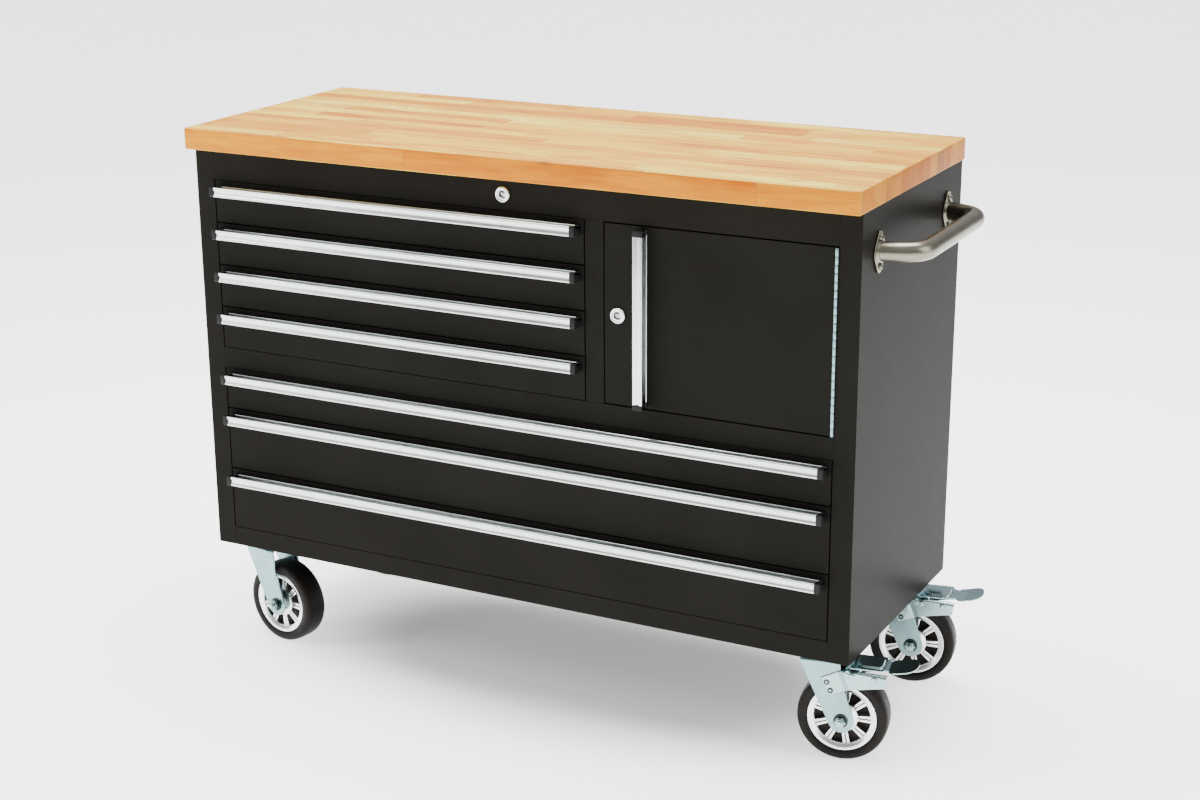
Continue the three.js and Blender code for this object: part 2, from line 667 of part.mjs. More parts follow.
// Wheel centre: a rim, a hub barrel and a web between them with windows, so that spokes are left.
function hub() {
  const rim = RIM_WIDTH / 2;
  const web = WEB_WIDTH / 2;
  const barrel = HUB_WIDTH / 2;
  const bore = AXLE_RADIUS + BORE_GAP;
  const inner = RIM_RADIUS - RIM_WALL;
  const wheel = turned(
    [
      [bore, -barrel],
      [HUB_RADIUS - HUB_TAPER, -barrel],
      [HUB_RADIUS, -web],
      [inner, -web],
      [inner, -rim],
      [RIM_RADIUS, -rim],
      [RIM_RADIUS, rim],
      [inner, rim],
      [inner, web],
      [HUB_RADIUS, web],
      [HUB_RADIUS - HUB_TAPER, barrel],
      [bore, barrel],
    ],
    WHEEL_SIDES,
  );
  const near = HUB_RADIUS + WINDOW_GAP.hub;
  const far = inner - WINDOW_GAP.rim;
  const slice = Math.PI / WHEEL_WINDOWS;
  const windows = [];
  for (let i = 0; i < WHEEL_WINDOWS; i++) {
    const at = 2 * i * slice;
    const corner = (radius, angle) => [radius * Math.cos(at + angle), radius * Math.sin(at + angle)];
    const outline = [
      corner(near, -WINDOW_SHARE.hub * slice),
      corner(far, -WINDOW_SHARE.rim * slice),
      corner(far, WINDOW_SHARE.rim * slice),
      corner(near, WINDOW_SHARE.hub * slice),
    ];
    windows.push(prism("y", outline, -2 * web, 2 * web));
  }
  return wheel.subtract(join(...windows));
}

// The crown's facets touch the wheel's radius at their middles, so that a flat one stands on the floor.
function tyre() {
  const half = TYRE_WIDTH / 2;
  const crown = WHEEL_RADIUS / Math.cos(Math.PI / WHEEL_SIDES);
  const shoulder = crown - TYRE_SHOULDER;
  return turned(
    [
      [RIM_RADIUS + FIT, -RIM_WIDTH / 2],
      [shoulder, -half],
      [crown - TYRE_SHOULDER / 5, -half * TYRE_ROUND],
      [crown, -half * TYRE_FLAT],
      [crown, half * TYRE_FLAT],
      [crown - TYRE_SHOULDER / 5, half * TYRE_ROUND],
      [shoulder, half],
      [RIM_RADIUS + FIT, RIM_WIDTH / 2],
    ],
    WHEEL_SIDES,
  );
}

// ---------------------------------------------------------------- foot brake

// Two cheeks riveted outside the fork legs, a cross strip and the pedal's pin.
function brakeHousing() {
  const cheek = [
    ...CHEEK_FROM_PIN.map(([x, z]) => [BRAKE_PIN.x + x, BRAKE_PIN.z + z]),
    ...CHEEK_FROM_END.map(([x, z]) => [BRAKE_END + x, BRAKE_TOP + z]),
  ];
  const inner = forkOutside + FIT;
  const outer = inner + BRAKE_SHEET;
  const stripTop = BRAKE_PIN.z - BRAKE_EYE - 2 * FIT;
  return join(
    prism("y", cheek, inner, outer),
    prism("y", cheek, -outer, -inner),
    block(
      [BRAKE_PIN.x - BRAKE_STRIP / 2, BRAKE_PIN.x + BRAKE_STRIP / 2],
      [-outer, outer],
      [stripTop - BRAKE_SHEET, stripTop],
    ),
    bar("y", [BRAKE_PIN.x, BRAKE_PIN.z], -outer, outer, BRAKE_PIN.radius, 12),
  );
}

// The pedal: an eye round the pin, a plate with a raised panel, a brake shoe and a curved paddle.
function brakePedal() {
  const half = forkOutside + FIT - PEDAL_PLAY;
  const low = BRAKE_TOP - BRAKE_SHEET;
  const plateStart = BRAKE_PIN.z + BRAKE_EYE;
  const plateEnd = BRAKE_END - 1;
  const plate = [
    [BRAKE_PIN.x, plateStart - BRAKE_SHEET],
    [plateEnd, low + PLATE_RISE],
    [plateEnd, BRAKE_TOP + PLATE_RISE],
    [BRAKE_PIN.x, plateStart],
  ];
  const panelX = [BRAKE_PIN.x + PANEL_INSET.near, BRAKE_END - PANEL_INSET.far];
  const panel = [
    [panelX[0], plateStart - BRAKE_SHEET / 2],
    [panelX[1], BRAKE_TOP + PLATE_RISE - BRAKE_SHEET / 2],
    [panelX[1], BRAKE_TOP + PLATE_RISE + PANEL_RISE],
    [panelX[0], plateStart + PANEL_RISE],
  ];
  const paddle = new THREE.Shape();
  const middle = (BRAKE_END + PADDLE_REACH) / 2;
  paddle.moveTo(plateEnd - BRAKE_SHEET, low + PLATE_RISE);
  paddle.quadraticCurveTo(middle, low - PADDLE_DIP, PADDLE_REACH, low + PADDLE_LIFT);
  paddle.lineTo(PADDLE_REACH, BRAKE_TOP + PADDLE_LIFT);
  paddle.quadraticCurveTo(middle, BRAKE_TOP - PADDLE_DIP, plateEnd - BRAKE_SHEET, BRAKE_TOP + PLATE_RISE);
  const shoeX = SHOE_REACH.map((reach) => BRAKE_PIN.x + reach);
  const shoeReach = Math.abs(shoeX[0] - CASTER_OFFSET);
  const tyreTop = WHEEL_RADIUS + Math.sqrt(WHEEL_RADIUS ** 2 - shoeReach ** 2);
  const pin = [BRAKE_PIN.x, BRAKE_PIN.z];
  return join(
    bar("y", pin, -half, half, BRAKE_EYE, 16),
    prism("y", plate, -half, half),
    prism("y", panel, -PADDLE_WIDTH / 2, PADDLE_WIDTH / 2),
    prism("y", paddle, -PADDLE_WIDTH / 2, PADDLE_WIDTH / 2, 6),
    block(shoeX, [-TYRE_WIDTH / 2, TYRE_WIDTH / 2], [tyreTop + SHOE_GAP, plateStart]),
  ).subtract(bar("y", pin, -2 * half, 2 * half, BRAKE_PIN.radius + BORE_GAP, 12));
}

// ---------------------------------------------------------------- assembly

part("worktop", worktop(), wood);
part("left_side", sidePanel(false), blackSteel);
part("right_side", sidePanel(true), blackSteel);
part("bottom_pan", deck(base, lowerBayFloor, false, SKIRT), blackSteel);
part("mid_deck", deck(midRailFoot, upperBayFloor, true), blackSteel);
part(
  "top_frame",
  deck(upperBayTop, top, true).subtract(lockHole(mainLock, [-SHEET, 2 * SHEET])),
  blackSteel,
);
part(
  "back_panel",
  block(
    [SHEET + FIT, CABINET_WIDTH - SHEET - FIT],
    [CABINET_DEPTH - SHEET, CABINET_DEPTH],
    [base - SKIRT, top],
  ),
  blackSteel,
);
part("divider", divider().subtract(camSlot(doorLock.z)), blackSteel);
part("cupboard_shelf", shelf(), blackSteel);

const small = drawers.slice(0, SMALL_DRAWERS);
const wide = drawers.slice(SMALL_DRAWERS);
const behindFlange = 2 * (SHEET + FIT);
const lowerRack = [lowerBayFloor - BOTTOM_RAIL + SHEET + FIT, upperBayFloor - SHEET - FIT];
const upperRack = [upperBayFloor + FIT, top - SHEET - FIT];
part("slides_lower_left", slideRack(wide, POST_WIDTH, 1, behindFlange, lowerRack), slideSteel);
part(
  "slides_lower_right",
  slideRack(wide, rightPost, -1, CABINET_WIDTH - behindFlange, lowerRack),
  slideSteel,
);
part("slides_upper_left", slideRack(small, POST_WIDTH, 1, behindFlange, upperRack), slideSteel);
part(
  "slides_upper_right",
  slideRack(small, dividerLeft - FIT - SHEET, -1, dividerLeft - FIT, [upperRack[0], upperBayTop]),
  slideSteel,
);

drawers.forEach((drawer, i) => {
  part(`drawer_${i + 1}_box`, drawerBody(drawer), blackSteel);
  part(`drawer_${i + 1}_pull`, drawerPull(drawer), aluminium);
});

part("door", door(), blackSteel);
part("door_pull", doorPull(), aluminium);
part("door_hinge_post_leaf", hingeLeaf(1), zinc);
part("door_hinge_door_leaf", hingeLeaf(-1), zinc);
part("door_lock_housing", lockHousing(doorLock), chrome);
part("door_lock_plug", lockPlug(doorLock, DOOR_CAM_REACH), chrome);
part("main_lock_housing", lockHousing(mainLock), chrome);
part("main_lock_plug", lockPlug(mainLock, MAIN_CAM_REACH), chrome);
part("push_handle", pushHandle(), stainless);

const casterX = { left: CASTER_SIDE_INSET, right: CABINET_WIDTH - CASTER_SIDE_INSET };
const casterY = { front: CASTER_FRONT_INSET, rear: CABINET_DEPTH - CASTER_REAR_INSET };
for (const [end, y] of Object.entries(casterY)) {
  for (const [side, x] of Object.entries(casterX)) {
    const name = `${end}_${side}`;
    const fixed = new THREE.Group();
    fixed.position.set(x, y, 0);
    bench.add(fixed);
    const swivel = new THREE.Group();
    swivel.rotation.z = THREE.MathUtils.degToRad(CASTER_TURN[name]);
    fixed.add(swivel);
    const wheel = new THREE.Group();
    wheel.position.set(CASTER_OFFSET, 0, WHEEL_RADIUS);
    swivel.add(wheel);
    part(`${name}_caster_plate`, casterPlate(), zinc, fixed);
    part(`${name}_fork`, fork(), zinc, swivel);
    part(`${name}_axle`, axle(), zinc, swivel);
    part(`${name}_wheel_hub`, hub(), chrome, wheel);
    part(`${name}_tyre`, tyre(), rubber, wheel);
    if (side === "right") {
      part(`${name}_brake_housing`, brakeHousing(), zinc, swivel);
      part(`${name}_brake_pedal`, brakePedal(), zinc, swivel);
    }
  }
}

// The origin is under the middle of the whole bench's box, on the floor.
const box = new THREE.Box3().setFromObject(bench, true);
const middle = box.getCenter(new THREE.Vector3());
bench.position.set(-middle.x, -middle.y, -box.min.z);

const workbench = new THREE.Group();
workbench.add(bench);
export default workbench;
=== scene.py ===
"""A rolling steel workbench under a laminated wooden top, round its CAD frame."""
import json
import math

import bmesh
import bpy
from mathutils import Matrix, Vector


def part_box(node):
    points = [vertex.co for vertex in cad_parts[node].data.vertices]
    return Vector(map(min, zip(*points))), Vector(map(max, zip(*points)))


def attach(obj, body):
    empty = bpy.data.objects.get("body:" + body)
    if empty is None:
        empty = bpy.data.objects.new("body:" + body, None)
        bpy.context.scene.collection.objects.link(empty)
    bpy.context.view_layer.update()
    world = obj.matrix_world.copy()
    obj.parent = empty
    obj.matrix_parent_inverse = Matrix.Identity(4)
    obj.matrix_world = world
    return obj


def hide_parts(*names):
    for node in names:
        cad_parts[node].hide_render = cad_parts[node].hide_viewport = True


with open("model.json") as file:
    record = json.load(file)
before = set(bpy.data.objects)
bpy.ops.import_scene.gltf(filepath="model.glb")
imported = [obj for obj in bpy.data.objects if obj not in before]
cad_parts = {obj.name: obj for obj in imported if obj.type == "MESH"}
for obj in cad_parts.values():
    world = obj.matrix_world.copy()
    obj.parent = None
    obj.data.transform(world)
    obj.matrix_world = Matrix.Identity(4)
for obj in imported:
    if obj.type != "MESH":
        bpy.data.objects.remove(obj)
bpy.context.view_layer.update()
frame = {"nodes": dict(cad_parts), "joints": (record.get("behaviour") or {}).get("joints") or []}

MM = 0.001
joints = {joint["name"]: joint for joint in frame["joints"]}

# The cabinet's own frame, in millimetres: x runs from the left side panel, y from the
# front and z from the floor.
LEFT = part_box("left_side")[0][0]
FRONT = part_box("top_frame")[0][1]


def place(x, y, z):
    """A point in the cabinet's own frame as a point in the row frame."""
    return Vector((LEFT + x * MM, FRONT + y * MM, z * MM))


CABINET = Matrix.Translation(place(0, 0, 0)) @ Matrix.Scale(MM, 4)


def size_of(node):
    """A node's lowest and highest corners in the cabinet's own frame."""
    low, high = (Vector(corner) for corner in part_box(node))
    back = CABINET.inverted()
    return back @ low, back @ high


# ---------------------------------------------------------------- camera

YAW, PITCH, ROLL = math.radians(28.00), math.radians(17.80), math.radians(-0.4825)
CAMERA_AT = (2286.7, -2908.2, 1596.4)
LENS, SENSOR = 64.02, 36
SHIFT = (0.0190, 0.0127)


def make_camera():
    level = Vector((math.cos(YAW), math.sin(YAW), 0))
    flat = math.cos(PITCH)
    ahead = Vector((-math.sin(YAW) * flat, math.cos(YAW) * flat, -math.sin(PITCH)))
    above = level.cross(ahead)
    right = math.cos(ROLL) * level + math.sin(ROLL) * above
    up = math.cos(ROLL) * above - math.sin(ROLL) * level
    turn = Matrix((right, up, -ahead)).transposed().to_4x4()
    data = bpy.data.cameras.new("camera")
    data.lens, data.sensor_width = LENS, SENSOR
    data.shift_x, data.shift_y = SHIFT
    data.clip_end = 50
    camera = bpy.data.objects.new("camera", data)
    camera.matrix_world = Matrix.Translation(place(*CAMERA_AT)) @ turn
    bpy.context.scene.collection.objects.link(camera)
    bpy.context.scene.camera = camera


make_camera()


# ---------------------------------------------------------------- materials


def linear(screen):
    """A screen value from 0 to 255 as a linear one from 0 to 1."""
    if screen > 10:
        return ((screen / 255 + 0.055) / 1.055) ** 2.4
    return screen / 255 / 12.92


def srgb(red, green, blue):
    return (linear(red), linear(green), linear(blue), 1)


def fill_ramp(colours, stops):
    """Sets a colour ramp's stops. A stop's colour is one number, or four."""
    for _ in stops[2:]:
        colours.elements.new(0.5)
    for element, (at, colour) in zip(colours.elements, stops):
        element.position = at
        element.color = colour if hasattr(colour, "__len__") else (colour, colour, colour, 1)


class Nodes:
    """A node material with a Principled shader and short ways to add nodes to it."""

    def __init__(self, name, **uniform):
        self.material = bpy.data.materials.new(name)
        self.material.use_nodes = True
        self.tree = self.material.node_tree
        self.shader = self.tree.nodes["Principled BSDF"]
        for socket, value in uniform.items():
            self.shader.inputs[socket.replace("_", " ")].default_value = value
        self.where = self.node("TexCoord").outputs["Object"]

    def node(self, kind, **settings):
        made = self.tree.nodes.new(f"ShaderNode{kind}")
        for key, value in settings.items():
            setattr(made, key, value)
        return made

    def feed(self, socket, value):
        if isinstance(value, bpy.types.NodeSocket):
            self.tree.links.new(value, socket)
        else:
            socket.default_value = value

    def math(self, operation, first, second=0.0, clamp=False):
        made = self.node("Math", operation=operation, use_clamp=clamp)
        self.feed(made.inputs[0], first)
        self.feed(made.inputs[1], second)
        return made.outputs[0]

    def stretched(self, scale, shift=None):
        made = self.node("Mapping")
        self.feed(made.inputs["Vector"], self.where)
        self.feed(made.inputs["Scale"], scale)
        if shift is not None:
            self.feed(made.inputs["Location"], shift)
        return made.outputs[0]

    def noise(self, scale, detail=3.0, vector=None, distortion=0.0):
        made = self.node("TexNoise")
        self.feed(made.inputs["Vector"], vector or self.where)
        self.feed(made.inputs["Scale"], scale)
        self.feed(made.inputs["Detail"], detail)
        self.feed(made.inputs["Distortion"], distortion)
        return made.outputs[0]

    def ramp(self, value, *stops, easing="LINEAR"):
        made = self.node("ValToRGB")
        made.color_ramp.interpolation = easing
        fill_ramp(made.color_ramp, stops)
        self.feed(made.inputs[0], value)
        return made.outputs[0]

    def mix(self, amount, first, second, blend="MIX"):
        made = self.node("Mix", data_type="RGBA", blend_type=blend)
        self.feed(made.inputs[0], amount)
        self.feed(made.inputs[6], first)
        self.feed(made.inputs[7], second)
        return made.outputs[2]

    def colour(self, value):
        self.feed(self.shader.inputs["Base Color"], value)

    def roughness(self, value, low, high):
        self.feed(self.shader.inputs["Roughness"], self.ramp(value, (0.3, low), (0.7, high)))

    def bump(self, height, depth, strength=1.0):
        made = self.node("Bump")
        self.feed(made.inputs["Height"], height)
        made.inputs["Distance"].default_value = depth
        made.inputs["Strength"].default_value = strength
        self.feed(self.shader.inputs["Normal"], made.outputs[0])


def powder_coat():
    """Satin black paint with a fine orange peel and slightly uneven gloss."""
    m = Nodes("powder_coat", Specular_IOR_Level=0.014)
    dark, light = (0.0104, 0.0096, 0.0082, 1), (0.0130, 0.0122, 0.0106, 1)
    m.colour(m.ramp(m.noise(5.0, 4.0), (0.3, dark), (0.7, light)))
    m.roughness(m.noise(60.0, 3.0), 0.36, 0.39)
    m.bump(m.noise(1400.0, 2.0), 0.00002, 0.3)
    return m.material


# Staves in metres, and the tones that a stave picks from, from 0 to 1.
STAVE_WIDTH, STAVE_LENGTH = 0.0335, 0.33
FRONT_STAVE_LENGTH = 0.62
TOP_TONES = (
    (0.0, (196, 132, 44)), (0.22, (214, 168, 58)), (0.40, (218, 178, 62)),
    (0.56, (228, 212, 84)), (0.72, (218, 170, 58)), (0.86, (204, 144, 50)),
    (1.0, (232, 220, 96)),
)
EDGE_TONES = (
    (0.0, (210, 130, 4)), (0.35, (216, 140, 6)), (0.7, (222, 152, 12)), (1.0, (208, 126, 4)),
)
END_TONES = (
    (0.0, (168, 100, 14)), (0.4, (186, 122, 22)), (0.7, (198, 140, 30)), (1.0, (146, 88, 22)),
)
GRAIN, FIBRE, CLOUD = srgb(196, 134, 80), srgb(196, 138, 84), srgb(216, 132, 70)
KNOT, GLUE = srgb(150, 84, 34), srgb(150, 92, 46)


def wood(name, end_grain=False, edge=False):
    """Oiled hardwood staves glued side by side, each with its own tone, figure and grain."""
    m = Nodes(name, IOR=1.45, Specular_IOR_Level=0.06 if end_grain or edge else 0.2)
    split = m.node("SeparateXYZ")
    m.feed(split.inputs[0], m.where)
    x, y, _ = split.outputs
    row_at = m.math("DIVIDE", y, STAVE_WIDTH)
    row = m.math("FLOOR", row_at)
    row_dice = m.node("TexWhiteNoise", noise_dimensions="1D")
    m.feed(row_dice.inputs["W"], row)
    start = m.math("MULTIPLY", row_dice.outputs[0], 3.7)
    length = FRONT_STAVE_LENGTH if edge else STAVE_LENGTH
    stave_at = m.math("ADD", m.math("DIVIDE", x, length), start)
    stave = m.math("FLOOR", stave_at)
    pair = m.node("CombineXYZ")
    m.feed(pair.inputs[0], row)
    m.feed(pair.inputs[1], stave)
    dice = m.node("TexWhiteNoise", noise_dimensions="3D")
    m.feed(dice.inputs["Vector"], pair.outputs[0])
    pick, pick_rgb = dice.outputs
    tones = END_TONES if end_grain else EDGE_TONES if edge else TOP_TONES
    base = m.ramp(pick, *((at, srgb(*tone)) for at, tone in tones))
    # Grain that runs along the stave and starts somewhere else in each one.
    shift = m.node("VectorMath", operation="SCALE")
    m.feed(shift.inputs[0], pick_rgb)
    shift.inputs["Scale"].default_value = 7.0
    if end_grain:
        rings = m.node("TexWave", wave_type="RINGS", rings_direction="X")
        m.feed(rings.inputs["Vector"], m.stretched((1.0, 90.0, 90.0), shift.outputs[0]))
        m.feed(rings.inputs["Scale"], 1.6)
        m.feed(rings.inputs["Distortion"], 3.0)
        figure = rings.outputs["Fac"]
    else:
        figure = m.noise(1.0, 5.0, m.stretched((5.0, 75.0, 75.0), shift.outputs[0]), 0.9)
    fibres = m.noise(1.0, 4.0, m.stretched((22.0, 900.0, 900.0), shift.outputs[0]))
    grained = m.mix(m.ramp(figure, (0.38, 0.0), (0.72, 0.55)), base, GRAIN, "MULTIPLY")
    grained = m.mix(m.ramp(fibres, (0.45, 0.0), (0.75, 0.35)), grained, FIBRE, "MULTIPLY")
    cloud = m.noise(1.0, 2.0, m.stretched((7.0, 24.0, 24.0), shift.outputs[0]))
    grained = m.mix(m.ramp(cloud, (0.45, 0.0), (0.8, 0.6)), grained, CLOUD, "MULTIPLY")
    knots = m.node("TexVoronoi")
    m.feed(knots.inputs["Vector"], m.stretched((7.0, 17.0, 17.0)))
    knots.inputs["Scale"].default_value = 1.0
    darkest = 0.85 if edge else 0.55
    knot = m.ramp(knots.outputs["Distance"], (0.03, darkest), (0.16, 0.0), easing="EASE")
    grained = m.mix(knot, grained, KNOT)
    # Thin glue lines between the staves.
    across = m.math("ABSOLUTE", m.math("SUBTRACT", m.math("FRACT", row_at), 0.5))
    along = m.math("ABSOLUTE", m.math("SUBTRACT", m.math("FRACT", stave_at), 0.5))
    side_line = m.ramp(across, (0.482, 0.0), (0.498, 1.0))
    end_line = m.ramp(along, (0.4972, 0.0), (0.4996, 1.0))
    line = m.math("MAXIMUM", side_line, end_line)
    m.colour(m.mix(m.math("MULTIPLY", line, 0.35), grained, GLUE))
    m.roughness(figure, 0.36, 0.5)
    m.bump(m.math("SUBTRACT", fibres, m.math("MULTIPLY", line, 0.5)), 0.00006, 0.6)
    return m.material


def metal(name, colour, low, high, scale=(1, 1, 1), tint=None, grain=700.0, depth=0.000004):
    """Metal whose grain runs along the axis with the smallest scale, and uneven roughness."""
    m = Nodes(name, Metallic=1.0)
    streaks = m.noise(grain, 3.0, m.stretched(scale))
    cloud = m.noise(34.0, 4.0)
    shade = tuple(v * 0.9 for v in colour[:3]) + (1,)
    m.colour(m.ramp(cloud, (0.32, tint or shade), (0.68, colour)))
    uneven = m.math("ADD", m.math("MULTIPLY", streaks, 0.6), m.math("MULTIPLY", cloud, 0.4))
    m.roughness(uneven, low, high)
    m.bump(streaks, depth, 0.5)
    return m.material


def plastic(name, colour, low, high, grain=900.0):
    """Plastic or rubber with a moulded grain and cloudy tone."""
    m = Nodes(name, Specular_IOR_Level=0.12)
    tone = m.noise(40.0, 3.0)
    lighter = tuple(v * 1.5 for v in colour[:3]) + (1,)
    m.colour(m.ramp(tone, (0.35, colour), (0.75, lighter)))
    m.roughness(m.noise(120.0, 3.0), low, high)
    m.bump(m.noise(grain, 3.0), 0.00008, 0.5)
    return m.material


POWDER = powder_coat()
WOOD_TOP = wood("wood_top")
WOOD_EDGE = wood("wood_edge", edge=True)
WOOD_END = wood("wood_end", end_grain=True)
PALE_ALUMINIUM = (0.72, 0.755, 0.745, 1)
ALUMINIUM = metal("satin_aluminium", PALE_ALUMINIUM, 0.24, 0.34, (0.02, 1.0, 1.0))
ALUMINIUM_UPRIGHT = metal("satin_aluminium_upright", PALE_ALUMINIUM, 0.24, 0.34, (1.0, 1.0, 0.02))
ZINC = metal(
    "blue_zinc", (0.26, 0.385, 0.39, 1), 0.22, 0.34, tint=(0.20, 0.315, 0.325, 1), grain=260.0,
)
# Pale zinc for the axle bolts and brake cheeks, also laid on the pedal's panel rim and cut edges as
# a painted highlight.
PALE_ZINC_AND_PAINTED_HIGHLIGHT = metal(
    "pale_zinc_and_painted_highlight", (0.35, 0.475, 0.47, 1), 0.20, 0.30, tint=(0.30, 0.425, 0.425, 1), grain=260.0,
)
PEDAL_ZINC = metal(
    "pedal_zinc", (0.36, 0.53, 0.57, 1), 0.14, 0.22, tint=(0.30, 0.47, 0.52, 1), grain=260.0,
)
# Dark steel for the rivets, also laid on as painted shade: the axles' washers and nut ring, a rim
# round each brake tab and a crescent by each cheek pin.
RIVET_STEEL_AND_PAINTED_SHADE = metal("rivet_steel_and_painted_shade", (0.030, 0.040, 0.040, 1), 0.26, 0.38, grain=260.0)
STAINLESS = metal(
    "brushed_stainless", (0.205, 0.195, 0.152, 1), 0.26, 0.33, grain=1500.0, depth=0.000002,
)
CHROME = metal("bright_chrome", (0.86, 0.86, 0.87, 1), 0.08, 0.16)
WHEEL_METAL = metal("bright_cast_metal", (0.90, 0.90, 0.91, 1), 0.16, 0.26)
SLIDE_STEEL = metal("slide_steel", (0.58, 0.59, 0.60, 1), 0.28, 0.42, (1.0, 0.05, 1.0))
RUBBER = plastic("tyre_rubber", (0.0065, 0.0052, 0.0042, 1), 0.42, 0.58, 500.0)
CAP_PLASTIC = plastic("cap_plastic", (0.010, 0.010, 0.010, 1), 0.34, 0.48)
CORE_PLASTIC = plastic("wheel_core_plastic", (0.012, 0.0085, 0.006, 1), 0.3, 0.45)


# ---------------------------------------------------------------- mesh tools


MERGE = 1e-5  # points nearer than this, in millimetres, are one
SHARP = 30.0  # an edge is shaded hard from this angle up, in degrees


class Build:
    """Collects closed solids, in millimetres, into one mesh."""

    def __init__(self):
        self.bm = bmesh.new()

    def solid(self, rings, material=0, closed=False):
        """Skins rings of points into a solid, with end faces unless the rings close up."""
        made = [[self.bm.verts.new(point) for point in ring] for ring in rings]
        count = len(made[0])
        faces = []
        for low, high in zip(made, made[1:] + made[:1] if closed else made[1:]):
            for i in range(count):
                j = (i + 1) % count
                faces.append(self.bm.faces.new((low[i], low[j], high[j], high[i])))
        if not closed:
            faces.append(self.bm.faces.new(list(reversed(made[0]))))
            faces.append(self.bm.faces.new(made[-1]))
        for face in faces:
            face.material_index = material
        bmesh.ops.recalc_face_normals(self.bm, faces=faces)
        return faces

    def prism(self, outline, to_3d, low, high, ease=0.0, material=0):
        """Extrudes an outline from low to high. Ease rounds off the two rims."""
        rim = []
        steps = 3 if ease else 0
        for i in range(steps + 1):
            angle = (math.pi / 2) * i / max(steps, 1)
            rim.append((low + ease * (1 - math.sin(angle)), ease * (1 - math.cos(angle))))
        rings = []
        for at, inset in rim[::-1] + [(low + high - at, inset) for at, inset in rim]:
            rings.append([to_3d(point, at) for point in inset_outline(outline, inset)])
        return self.solid(rings, material)

    def box(self, x, y, z, ease=0.0):
        radius = min(ease, (x[1] - x[0]) / 2.01, (y[1] - y[0]) / 2.01)
        outline = rounded_rectangle(x, y, radius, 3) if ease else rectangle(x, y)
        return self.prism(outline, lambda p, h: (p[0], p[1], h), z[0], z[1], ease)

    def lathe(self, profile, at=(0, 0, 0), axis="z", sides=48, material=0):
        """Turns a closed profile of (radius, height) points about an axis through a point."""
        rings = []
        for i in range(sides):
            angle = 2 * math.pi * i / sides
            c, s = math.cos(angle), math.sin(angle)
            rings.append([toward(axis, r * c, r * s, h, at) for r, h in profile])
        return self.solid(rings, material, closed=True)

    def disc(self, radius, low, high, at=(0, 0, 0), axis="z", sides=32, ease=0.0, material=0):
        """A solid round bar with rounded rims."""
        outline = [(radius * math.cos(t), radius * math.sin(t)) for t in turns(sides)]

        def to_3d(point, along):
            return toward(axis, *point, along, at)

        return self.prism(outline, to_3d, low, high, ease, material)

    def hexagon(self, radius, low, high, at=(0, 0, 0), axis="z"):
        return self.disc(radius, low, high, at, axis, sides=6, ease=0.6)

    def tube(self, path, radius, sides):
        """Sweeps a circle along a path that stays at one height."""
        rings = []
        for i, point in enumerate(path):
            ahead = (path[min(i + 1, len(path) - 1)] - path[max(i - 1, 0)]).normalized()
            side = ahead.cross(Vector((0, 0, 1))).normalized()
            up = side.cross(ahead)
            spokes = [math.cos(t) * side + math.sin(t) * up for t in turns(sides)]
            rings.append([point + radius * spoke for spoke in spokes])
        return self.solid(rings)

    def object(self, name, materials, matrix=CABINET, sharp=SHARP):
        """The mesh as an object in the row frame, smooth but for its sharp edges."""
        bmesh.ops.remove_doubles(self.bm, verts=self.bm.verts, dist=MERGE)
        bmesh.ops.dissolve_degenerate(self.bm, edges=self.bm.edges, dist=MERGE)
        bmesh.ops.transform(self.bm, matrix=matrix, verts=self.bm.verts)
        shade(self.bm, sharp)
        mesh = bpy.data.meshes.new(name)
        self.bm.to_mesh(mesh)
        self.bm.free()
        for material in materials:
            mesh.materials.append(material)
        made = bpy.data.objects.new(name, mesh)
        bpy.context.scene.collection.objects.link(made)
        return made


def shade(bm, sharp):
    for face in bm.faces:
        face.smooth = True
    limit = math.radians(sharp)
    for edge in bm.edges:
        edge.smooth = len(edge.link_faces) == 2 and edge.calc_face_angle(0) < limit


def turns(count):
    return [2 * math.pi * i / count for i in range(count)]


def toward(axis, a, b, along, at):
    """A point at (a, b) across an axis and at a height along it."""
    x, y, z = at
    if axis == "x":
        return (x + along, y + a, z + b)
    if axis == "y":
        return (x + a, y + along, z + b)
    return (x + a, y + b, z + along)


def rectangle(x, y):
    return [(x[0], y[0]), (x[1], y[0]), (x[1], y[1]), (x[0], y[1])]


def rounded_rectangle(x, y, radius, steps=5):
    points = []
    corners = ((x[1], y[0], -90), (x[1], y[1], 0), (x[0], y[1], 90), (x[0], y[0], 180))
    for cx, cy, start in corners:
        mx = cx - radius if cx == x[1] else cx + radius
        my = cy - radius if cy == y[1] else cy + radius
        points += arc(mx, my, radius, start, start + 90, steps)
    return points


def arc(cx, cy, radius, start, end, steps=6):
    """Points on an arc, in degrees."""
    angles = [math.radians(start + (end - start) * i / steps) for i in range(steps + 1)]
    return [(cx + radius * math.cos(t), cy + radius * math.sin(t)) for t in angles]


def rounded(points, radius, steps=4):
    """An outline with each corner rounded. A radius is one number, or one for each corner."""
    radii = radius if hasattr(radius, "__len__") else [radius] * len(points)
    out = []
    for i, corner in enumerate(points):
        before = Vector(points[i - 1]) - Vector(corner)
        after = Vector(points[(i + 1) % len(points)]) - Vector(corner)
        angle = before.angle(after)
        reach = min(radii[i] / math.tan(angle / 2), 0.45 * before.length, 0.45 * after.length)
        a = Vector(corner) + before.normalized() * reach
        b = Vector(corner) + after.normalized() * reach
        for k in range(steps + 1):
            t = k / steps
            point = a * (1 - t) ** 2 + Vector(corner) * 2 * t * (1 - t) + b * t * t
            out.append((point.x, point.y))
    return out


